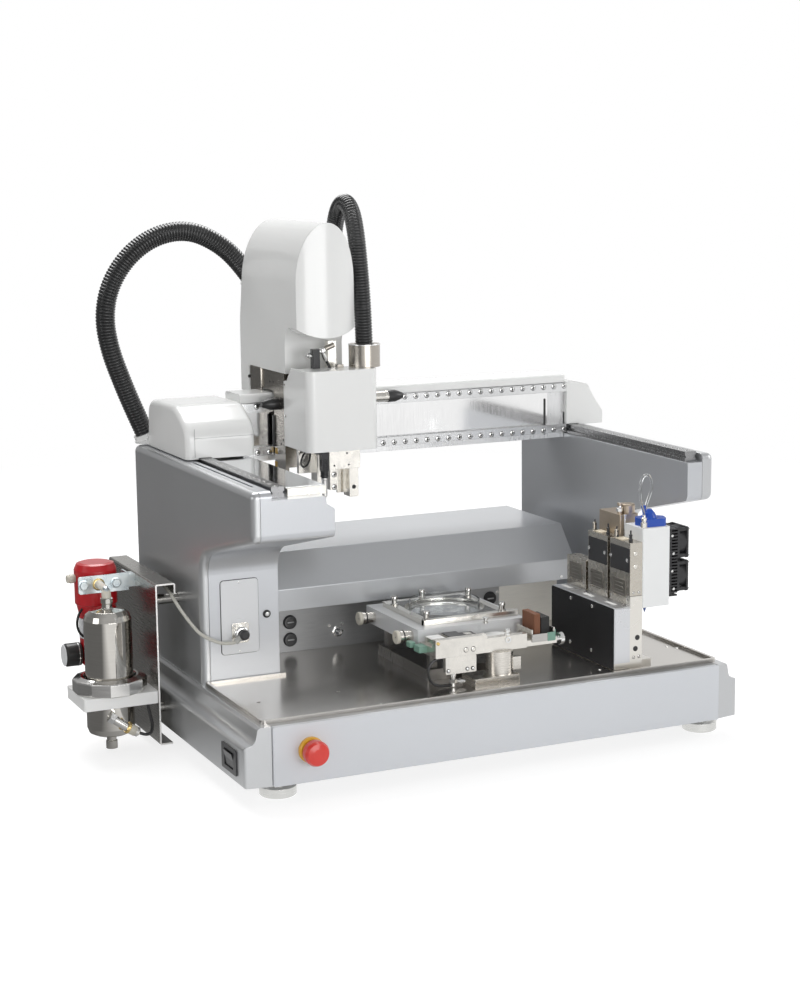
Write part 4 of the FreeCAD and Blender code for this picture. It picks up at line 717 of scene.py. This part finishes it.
# The front bar of the platform with its ear and lower plate, the four sensor modules on it, the cleaning brushes in
# their green holder, two hose couplers at the left and a drain valve with its cable below.
dress(nickel, "platform_bar", "fluid_couplers", "platform_modules")
dress(metal("cup_satin_steel", (0.70, 0.67, 0.62), 0.27, (1, 1, 25), 40.0, 0.000012), "purge_cup")
dress(metal("bar_knob_alloy", (0.86, 0.86, 0.85), 0.2), "platform_knob")
gloss_black = moulded("module_black", (0.016, 0.016, 0.018), 0.34, 900.0, 0.000004, 0.0006, 0.1)
module_white = moulded("module_white", (0.82, 0.82, 0.80), 0.4, 900.0, 0.00001, 0.0005)
laid("white_module_lid", slab(put(-70, -214, 193), *TOP, 22.6, 34.6, 1.5, edged(1.0, 0.4)), module_white)
laid("black_module_lids", [slab(put(-42.5, -214, 195), *TOP, 24.4, 33.4, 1.5, edged(1.2, 0.4)),
    slab(put(-15.5, -214, 192), *TOP, 22.4, 33.4, 1.5, edged(1.2, 0.4))], gloss_black)
laid("module_windows", slab(put(-15.5, -208, 193.1), *TOP, 12, 12, 0.8, edged(0.4, 0.1)), nickel)
laid("white_disc", turned([(0, 0), (20.3, 0), (20.3, 2.8), (19.6, 3.3), (17.2, 3.3), (16.6, 2.8), (0, 2.7)],
    put(31, -214.3, 184), (0, 0, 1), 64), module_white)
stud = [(0, 0), (4.6, 0), (4.6, 2.4), (2.8, 3.0), (2.8, 4.6), (5.2, 5.2), (5.2, 8.2), (4.2, 9.2), (0, 9.3)]
laid("bar_studs", turned(stud, np.array([put(36, -240.5, 192), put(22.7, -193.2, 202)]), (0, 0, 1), 28), bright_steel)
laid("bar_ring", turned([(2.4, 0), (4.8, 0), (4.8, 1.8), (2.4, 1.8), (2.4, 0)], put(33.8, -246.5, 186), (0, -1, 0),
    28), bright_steel, "base")
bar_face = -246.5
ringed = [(-37.3, bar_face, 178.4, 4.1), (-24.9, bar_face, 178.4, 4.1), (-66.5, bar_face, 148.6, 3.0),
    (-34.6, bar_face, 148.6, 3.0), (-25.4, bar_face, 148.6, 3.0)]
# Black discs a little wider than the screws above them: painted shade of their seats.
laid("bar_screw_seats", [turned([(0, 0), (radius, 0), (radius, 0.12), (0, 0.14)], put(x, y, z), (0, -1, 0), 20) for x,
    y, z, radius in ringed], black_and_shade)
screws("bar_screws", 3.4, 1.0, puts([(x, bar_face, 178.4) for x in (-37.3, -24.9)]), (0, -1, 0), 20, nickel, "base")
screws("lower_plate_screws", 2.4, 0.9, puts([(x, -246.6, 148.6) for x in (-66.5, -34.6, -25.4)]), (0, -1, 0), 18,
    bright_steel, "base")
laid("amber_plug", turned([(0, 0), (2.6, 0), (2.6, 1.4), (1.8, 2.0), (0, 2.0)], put(-84, bar_face, 193), (0, -1, 0),
    18), brass)
laid("coupler_ends", turned([(0, 0), (10.2, 0), (10.4, 1.0), (10.4, 4.6), (9.6, 5.6), (4, 5.8), (0, 4.6)],
    puts([(-112.0, y, 189) for y in (-26, -166)]), (-1, 0, 0), 36), beige)
laid("coupler_rings", turned([(8.6, 0), (10.1, 0.2), (10.1, 1.8), (8.6, 2.0), (8.6, 0)],
    puts([(-104.0, y, 189) for y in (-26, -166)]), (-1, 0, 0), 36), black_and_shade)
board_green = moulded("terminal_green", (0.17, 0.32, 0.25), 0.4, 300.0, 0.00003, 0.0005)
laid("green_terminal", [slab(put(-94.0, -206, 173.5), *TOP, 13.2, 20.8, 0.8, edged(9.8, 0.5)),
    slab(put(-101.5, -188, 178), *TOP, 9, 14, 0.8, edged(8, 0.5))], board_green)
laid("brush_tray_front", slab(put(89.5, -245.0, 182.5), *FRONT, 27.0, 12.5, 0.8, edged(1.2, 0.4)), pin_steel)
laid("brush_tray", [slab(put(109.6, -245.0, 182.5), *FRONT, 13.0, 13.5, 0.8, edged(1.6, 0.4)),
    slab(put(116.2, -221, 184.5), (0, 1, 0), (0, 0, 1), 49, 16, 0.8, edged(1.2, 0.4))], board_green)
brown_brush = moulded("brush_brown", (0.17, 0.065, 0.03), 0.8, 420.0, 0.0006, 0.0008)
black_brush = moulded("brush_black", (0.014, 0.014, 0.014), 0.8, 420.0, 0.0006, 0.0008)
laid("brown_bristles", slab(put(89, -219, 183.7), *TOP, 10.8, 38.8, 1.0, edged(34.6, 1.2)), brown_brush)
laid("black_bristles", slab(put(103, -219, 183.7), *TOP, 14.8, 38.8, 1.0, edged(28.6, 1.2)), black_brush)
valve = [(0, 0), (3.2, 0), (3.2, 5.5), (5.2, 6.2), (5.2, 11), (3.4, 11.8), (3.4, 15), (4.6, 15.6), (4.6, 20.6),
    (0, 20.8)]
laid("drain_valve", [turned(valve, put(-55, -238, 122.2), (0, 0, 1), 24, 6, (3, 4)),
    turned([(0, 0), (3, 0), (3, 8), (4.4, 8.6), (4.4, 13), (3.4, 13.6), (3.4, 17), (0, 17.2)], put(-53, -238, 130),
    (1, 0, -0.12), 22)], bright_steel)
lead("platform_cable", [(-78, -238.5, 168.5), (-88, -238.5, 166), (-95.5, -238.5, 158), (-97.5, -238.5, 147),
    (-94, -238.5, 134), (-84, -238.5, 126.5), (-70, -238.5, 124.6), (-59.5, -238.2, 124.6)], 0.0022, (0, 1, 0),
    18, hose_black_gloss, "base")


# The tool magazine: an aluminium case with a black cover plate on its left face, a nickelled end post and foot, and
# blank tags on top.
material, place = begin("magazine_finish")
rounded, rim = soft_edge(place, 0.0006)
slow = noise(place, 14.0, 4.0)
cover = zone(place, (-FAR, -FAR, -FAR), (206.7, FAR, FAR))
nickelled = zone(place, (234.5, -FAR, -FAR), (FAR, FAR, FAR))
foot = zone(place, (206.8, -FAR, -FAR), (FAR, FAR, 132.2))
tone = (nickelled + foot).kept(0.0, 1.0).blend((0.70, 0.71, 0.73, 1), (0.80, 0.775, 0.725, 1))
tone = cover.blend(tone, (0.035, 0.035, 0.037, 1))
bump = bumped(place, rounded, noise(place, 300.0, 2.0), 0.2, 0.00001)
# The metal's edges lighten through rim: partly wear, partly a painted highlight.
close(material, place, Base_Color=(rim * (1.0 - cover) * 0.6).blend(tone, (0.9, 0.9, 0.89, 1)),
    Metallic=0.9 - cover * 0.65, Roughness=(0.30 - cover * 0.06 + (slow - 0.5) * 0.2).kept(0.05, 1.0), Normal=bump)
dress(material, "tool_magazine")
laid("magazine_pins", turned([(0, 0), (2.7, 0), (2.7, 1.2), (2.0, 2.0), (0, 2.2)],
    puts([(206.0, y, z) for y, z in ((-138.5, 211.5), (-205.4, 211.5), (-137.2, 139.5), (-203.7, 140.3))]), (-1, 0, 0),
    18), bright_steel)
laid("magazine_tags", slab(puts([(221.0, y, 220.5) for y in (-99.0, -168.0, -236.5)]), *TOP, 7.0, 29.0, 0.8,
    edged(0.4, 0.15)), module_white)
screws("post_screws", 2.7, 1.0, np.array([put(241.5, -271.0, 139.3), put(251.2, -271.0, 139.7)]), (0, -1, 0), 18,
    pin_steel, "base")
# The post's holes are black discs: painted shade inside them.
laid("post_holes", turned([(0, 0), (4.2, 0), (4.2, 0.3), (3.6, 0.4), (0, 0.4)],
    np.array([put(248.0, -271.0, 170.2), put(244.6, -271.0, 152.8)]), (0, -1, 0), 24), black_and_shade)


# The coupling plates of the three tools: nickelled blocks with a black cover plate held by two screws, a framed field
# with a raised lock plate, and guide pegs with black clips on top.
adapter_nickel = metal("adapter_nickel", (0.58, 0.545, 0.485), 0.26, (1, 1, 1), 120.0, 0.000012)
dress(adapter_nickel, "adapter_front", "adapter_middle", "adapter_rear")
lock_grey = metal("lock_plate_grey", (0.30, 0.28, 0.25), 0.3, (1, 1, 1), 120.0)
pad_cream = moulded("guide_pad_cream", (0.72, 0.64, 0.50), 0.4, 500.0)
for body, y, top in (("front_tool", -240.0, True), ("middle_tool", -172.7, True), ("rear_tool", -105.4, False)):
    laid(body + "_lock_plate", [slab(put(234.7, y + 2, 246.5), *LEFT, 38.5, 26.0, 1.5,
        [(0, 0), (0, 0.7), (0.5, 1.1), (3.0, 1.1), (3.4, 0.6)]), slab(puts([(234.3, y + 2, z) for z in (240.5, 246.5,
        252.5)]), *LEFT, 24.0, 2.4, 1.0, edged(0.9, 0.3))], lock_grey, body)
    screws(body + "_lock_screws", 2.2, 0.8, puts([(234.6, y + s, 229.9) for s in (-24.5, 25.5)]), (-1, 0, 0), 16,
        pin_steel, body)
    if top:
        laid(body + "_cover_plate", slab(put(235.35, y, 291.9), *LEFT, 56.4, 38.0, 0.8, edged(1.5, 0.4)), gloss_black,
            body)
        screws(body + "_cover_screws", 3.2, 1.0, puts([(233.9, y + s, 292.0) for s in (-22.4, 26.0)]), (-1, 0, 0), 20,
            bright_steel, body)
        laid(body + "_guide_pad", slab(put(245.0, y + 8, 320.0), *TOP, 14.0, 22.0, 1.5, edged(1.2, 0.5)), pad_cream,
            body)
        laid(body + "_pegs", turned([(0, 0), (3.2, 0), (3.2, 4.0), (2.4, 4.6), (2.4, 9.0), (2.9, 9.4), (2.9, 11.0),
            (1.3, 12.0), (1.3, 17.5), (0, 18.0)], puts([(242.0, y + s, 320.0) for s in (-19.0, 22.0)]), (0, 0, 1), 20),
            gloss_black, body)
screws("front_plate_screws", 3.3, 0.9, puts([(243.7, -270.0, z) for z in (303.0, 282.7)]), (0, -1, 0), 20, nickel,
    "front_tool")
screws("front_plate_low_screws", 2.5, 0.8, puts([(x, -270.0, 241.5) for x in (240.9, 250.8)]), (0, -1, 0), 18,
    pin_steel, "front_tool")


# The cooled tool at the front: white polymer body with a blue steel needle, blue lid with a loop of clear tube, finned
# black heat sink and two fans with their wire clips. Behind it the heated tool in bronzed aluminium.
material, place = begin("cooled_tool_finish")
rounded, rim = soft_edge(place, 0.0008)
slow = noise(place, 9.0, 3.0)
lid = zone(place, (-FAR, -FAR, 341.1), (FAR, FAR, FAR))
needle = zone(place, (-FAR, -FAR, -FAR), (FAR, FAR, 215.8))
tone = lid.blend(((slow - 0.3) * 2.0).kept(0.0, 1.0).blend((0.80, 0.81, 0.81, 1), (0.85, 0.86, 0.86, 1)),
    (0.015, 0.075, 0.42, 1))
tone = needle.blend(tone, (0.10, 0.14, 0.32, 1))
bump = bumped(place, rounded, noise(place, 600.0, 2.0), 0.2, 0.00001)
close(material, place, Base_Color=tone, Metallic=needle * 0.8, Roughness=0.34 - lid * 0.1 + (slow - 0.5) * 0.1,
    Coat_Weight=0.15, Normal=bump)
dress(material, "cooled_tool")
fan_black = moulded("fan_black", (0.016, 0.016, 0.018), 0.38, 600.0)
dress(fan_black, "tool_heatsink", "fan_rotor_low", "fan_rotor_high")
tube_fitting = [(0, 0), (4.6, 0), (4.6, 8.6), (3.4, 9.2), (3.4, 11.2), (4.2, 11.8), (4.2, 15.6), (2.6, 16.4),
    (2.4, 20.0), (0, 20.2)]
laid("tube_fitting", turned(tube_fitting, put(262.0, -265.0, 340.9), (0, 0, 1), 28, 6, (1, 2)), nickel, "front_tool")
tube_clear = clear("clear_tube", (0.93, 0.94, 0.94, 1.0), 0.04)
lead("clear_tube_loop", [(262, -265, 360), (260.5, -264.5, 368), (256.5, -263, 384), (255.5, -262, 402),
    (259.5, -261.5, 419), (269, -261, 424.5), (277.5, -260.5, 415), (279, -259, 399), (274.5, -256, 384),
    (270.5, -254, 370), (269.5, -253, 352)], 0.0021, (0.1, 1, 0), 18, tube_clear, "front_tool")
laid("lid_spigot", turned([(0, 0), (3.4, 0), (2.6, 9), (2.6, 22), (0, 22)], put(269.6, -253, 352), (0, 0, 1), 22),
    moulded("lid_blue", (0.015, 0.075, 0.42), 0.3), "front_tool")
sink_spots = puts([(x, -271.0, z) for x, z in ((309.9, 325.0), (312.3, 296.7), (310.2, 269.1), (313.1, 240.5))])
laid("sink_screws", turned([(0, -3), (2.2, -3), (2.2, 0.6), (1.6, 1.1), (0, 1.2)], sink_spots, (0, -1, 0), 16),
    bright_steel, "front_tool")
clips = puts([(340.0, y, z) for y in (-268.0, -225.0) for z in (238.5, 280.5, 291.5, 333.5)])
laid("fan_clips", turned([(0, 0), (2.6, 0), (2.6, 1.0), (1.0, 1.4), (1.0, 3.4), (0, 3.6)], clips, (1, 0, 0), 14),
    bright_steel, "front_tool")
bronzed = metal("bronzed_alloy", (0.56, 0.47, 0.37), 0.34, (1, 1, 1), 160.0, 0.000015)
dress(bronzed, "heated_tool")
laid("bronze_knob", turned([(0, 0), (10.8, 0), (11.0, 1.0), (11.0, 13.4), (10.2, 14.8), (8.6, 15.2), (0, 15.2)],
    put(277.5, -192.0, 351.5), (0, 0, 1), 120, 20, (2, 3)), bronzed, "middle_tool", sharp=12)
laid("bronze_fitting", turned([(0, 0), (3.6, 0), (3.6, 4.0), (4.6, 4.5), (4.6, 9.4), (3.2, 10.2), (3.2, 15.0),
    (2.2, 18.6), (0, 18.6)], put(261.5, -193.7, 351.4), (0, 0, 1), 24, 6, (3, 4)), bright_steel, "middle_tool")
laid("bronze_pipe", turned([(0, 0), (3.0, 0), (3.0, 3), (1.8, 3.6), (1.8, 31), (2.8, 31.6), (2.8, 34.6), (0, 34.6)],
    put(263.8, -205.2, 318.0), (0, 0, 1), 20), bright_steel, "middle_tool")


# The gantry: an aluminium beam with two linear rails, between them a mirror bright window plate, and over it a cover,
# a left hood and a right end cap in glossy white, screwed on from behind.
white_paint = lacquered("white_gloss", (0.84, 0.845, 0.835), 0.22, 0.012, 0.5, edge=0.0014)
dress(white_paint, "gantry_hood", "gantry_endcap", "beam_cover", "tall_cover", "head_cover")
dress(metal("beam_aluminium", (0.80, 0.805, 0.81), 0.3, (20, 1, 1), 40.0), "gantry_beam")
dress(metal("window_mirror", (0.95, 0.95, 0.95), 0.10, (20, 1, 1), 30.0, 0.000004), "beam_window")
dress(metal("beam_rail_steel", (0.78, 0.785, 0.79), 0.2, (30, 1, 1), 50.0, 0.00001), "beam_rails")
rail_screws("beam_rail_screw", puts([(7.6 + screw_pitch * i, 100.0, z) for z in (446.5, 520.5) for i in range(-12,
    17)]), (0, -1, 0), "gantry")
# The window's slot is a black strip: painted shade inside it.
laid("window_slot", slab(put(294.6, 108.9, 469.0), *FRONT, 4.0, 62.0, 1.6, edged(0.3, 0.1)), black_and_shade, "gantry")
laid("hood_seams", [slab(put(-371.5 + 14, 41.95, 478.0), *FRONT, 0.7, 44.0, 0.2, [(0, 0), (0, 0.12), (0.1, 0.15)]),
    slab(put(-308, 41.95, 485.2), *FRONT, 98.0, 0.6, 0.2, [(0, 0), (0, 0.12), (0.1, 0.15)])], chassis_steel, "gantry",
    sharp=60)
beam_back = puts([(x, 172.0, z) for x in range(-220, 330, 90) for z in (446, 510)])
screws("beam_back_screws", 3.4, 1.8, beam_back, (0, 1, 0), 16, bright_steel, "gantry")


# The carriage: two nickelled cheeks joined by a bridge, with a bolted cover plate on the left cheek, rubber buffers on
# both sides and a wiper block.
cheek_nickel = metal("cheek_nickel", (0.42, 0.395, 0.36), 0.24, (1, 1, 14), 40.0, 0.000014)
dress(cheek_nickel, "carriage_frame")
laid("cheek_plate", slab(put(-204.0, 169.5, 557.3), *LEFT, 47.0, 41.0, 1.5, edged(3.0, 0.8)), cheek_nickel, "carriage")
laid("cheek_stud", turned([(0, 0), (2.6, 0), (2.6, 4), (1.8, 5), (0, 5)], put(-204.0, 197.5, 558.8), (-1, 0, 0), 18),
    gloss_black, "carriage")
holes = puts([(-204.0, y, z) for y, z in ((113.2, 558.2), (98.9, 558.6), (68.3, 462.8), (60.0, 470.0))])
# The cheek's holes are black discs: painted shade inside them.
laid("cheek_holes", turned([(0, 0), (1.9, 0), (1.9, 0.2), (0, 0.25)], holes, (-1, 0, 0), 16), black_and_shade, "carriage")
laid("amber_tags", slab(puts([(-204.0, y, z) for y, z in ((90.8, 449.2), (93.1, 427.2))]), *LEFT, 9.5, 9.5, 1.0,
    edged(0.5, 0.2)), moulded("tag_amber", (0.70, 0.42, 0.06), 0.4), "carriage")
rubber = moulded("buffer_rubber", (0.016, 0.016, 0.017), 0.34, 500.0, 0.00001, 0.0008, 0.15)
bumper = [(0, 0), (9.9, 0), (10.1, 3.0), (9.8, 12.2), (7.4, 20.0), (4.8, 26.4), (3.6, 27.3), (0, 27.4)]
laid("buffer_left", turned(bumper, put(-204.0, 82, 526), (-1, 0, 0), 36), rubber, "carriage")
laid("buffer_right", turned(bumper, put(-12.0, 82, 526), (1, 0, 0), 36), rubber, "carriage")
laid("buffer_rod", turned([(8.4, 0), (8.75, 0), (8.75, 74), (9.3, 74.6), (9.3, 79), (8.4, 79.4), (8.4, 0)],
    put(-91.6, 82, 526), (1, 0, 0), 36), nickel, "carriage")
laid("wiper_block", slab(put(-204.0, 97.6, 480.5), *LEFT, 3.4, 50.0, 1.0, edged(3.0, 0.6)), gloss_black, "carriage")


# The head: its slide of nickelled plates on a short guide rail, the white cover over it with a seam down its left
# flank, the hose collar and fittings on top, and the touch probe with its leads below.
head_nickel = metal("head_nickel", (0.84, 0.815, 0.765), 0.24, (1, 1, 1), 90.0, 0.00001)
dress(head_nickel, "head_slide")
big_holes = np.array([put(-114.2, -12.0, 445.1), put(-114.8, -12.0, 398.8), put(-114.1, -12.0, 460.5)])
# The bar's holes are black discs: painted shade inside them.
laid("bar_holes", turned([(0, 0), (3.4, 0), (3.4, 0.2), (2.9, 0.3), (0, 0.3)], big_holes, (0, -1, 0), 24), black_and_shade,
    "head")
small = np.array([put(-129.2, -20.0, 454.4), put(-151.0, -20.0, 436.0), put(-126.5, -20.0, 436.0)])
# The cross plate's holes are black discs: painted shade inside them.
laid("cross_plate_holes", turned([(0, 0), (1.5, 0), (1.5, 0.2), (0, 0.25)], small, (0, -1, 0), 16), black_and_shade, "head")
rail_screws("head_rail_screw", puts([(-138.0, 12.0, z) for z in (396.4, 416.5)]), (0, -1, 0), "head")
material, place = begin("head_fittings_finish")
rounded, rim = soft_edge(place, 0.0006)
brush = noise(place, 50.0, 3.0, (1, 1, 14))
collar = zone(place, (-166.4, -FAR, -FAR), (FAR, FAR, FAR))
tone = collar.blend((0.02, 0.02, 0.022, 1), (0.46, 0.43, 0.385, 1))
bump = bumped(place, rounded, brush, 0.25, 0.00001)
# The edges lighten through rim: partly wear, partly a painted highlight.
close(material, place, Base_Color=(rim * 0.4).blend(tone, (0.75, 0.73, 0.7, 1)), Metallic=collar * 1.0,
    Roughness=0.25 + (brush - 0.5) * 0.14, Normal=bump)
dress(material, "head_fittings")
laid("collar_rim", turned([(23.2, 0), (25.0, 0.2), (25.2, 1.0), (25.0, 1.8), (23.2, 2.0), (23.2, 0)],
    put(-94, -12.5, 621.7), (0, 0, 1), 64), bright_steel, "head")
laid("top_elbow", [turned([(0, 0), (4.4, 0), (4.4, 6.4), (0, 6.6)], put(-167.6, -3, 614.2), (1, 0, 0.1), 24),
    turned([(0, -5.4), (4.6, -4.6), (6.0, -1.5), (6.0, 2.4), (4.2, 4.4), (4.0, 15), (3.0, 18), (0, 18.4)],
    put(-161.0, -3, 615.6), (0.37, 0, -0.93), 28)], bright_steel, "head")
laid("top_lead", turned([(0, 0), (2.6, 0), (2.4, 6), (2.4, 15.5), (0, 15.5)], put(-154.6, -3, 599.4), (0.46, 0, -0.89),
    20), hose_black_gloss, "head")
laid("top_valve", turned([(0, 0), (3.2, 0), (3.2, 2.4), (4.2, 3.0), (4.2, 6.0), (2.4, 6.8), (2.4, 9.5), (0, 9.6)],
    put(-178.8, -3, 607.6), (-1, 0, 0.2), 22), bright_steel, "head")
material, place = begin("probe_finish")
rounded, rim = soft_edge(place, 0.0004)
slow = noise(place, 60.0, 3.0)
high = place.part("Z")
steel = (high < 0.4205) * (high > 0.3835)
tone = steel.blend((0.02, 0.02, 0.022, 1), (0.74, 0.73, 0.71, 1))
# The edges lighten through rim: partly wear, partly a painted highlight.
close(material, place, Base_Color=(rim * 0.4).blend(tone, (0.8, 0.8, 0.8, 1)), Metallic=steel * 1.0,
    Roughness=0.24 + (slow - 0.5) * 0.2, Normal=rounded)
dress(material, "touch_probe")
ribs = [(0, 0), (6.6, 0)] + [(r, 2.0 + 3.2 * i + d) for i in range(8) for r,
    d in ((6.6, 0.0), (5.7, 0.6), (5.7, 2.0), (6.6, 2.6))] + [(0, 28.2)]
laid("probe_plug", turned(ribs, put(-174, -34, 422.6), (0, 0, 1), 24), gloss_black, "head", sharp=30)
laid("probe_leads", [turned([(0, 0), (2.2, 0), (2.2, 14.5), (0, 14.5)], put(-177, -34, 450.5), (0.1, 0.1, 1), 16),
    turned([(0, 0), (2.0, 0), (2.0, 14.5), (0, 14.5)], put(-171, -34, 450.5), (0.05, 0.1, 1), 16)], hose_black_gloss,
    "head")
lead("head_cable_loop", [(-182, 2, 462.5), (-184, -3, 454), (-188, -7, 444), (-194, -9, 436.5), (-200.5, -9, 436),
    (-202.5, -8, 443), (-199, -6, 452), (-192, -3, 459), (-186, 1, 463)], 0.0016, (0.5, 1, 0), 16,
    hose_black_gloss, "head")
laid("flank_screws", turned([(0, 0), (2.2, 0), (2.2, 0.8), (1.4, 1.3), (0, 1.3)],
    np.array([put(-206.0, 44.0, 559.4), put(-206.0, 42.5, 510.6)]), (-1, 0, 0), 16), pin_steel, "head")
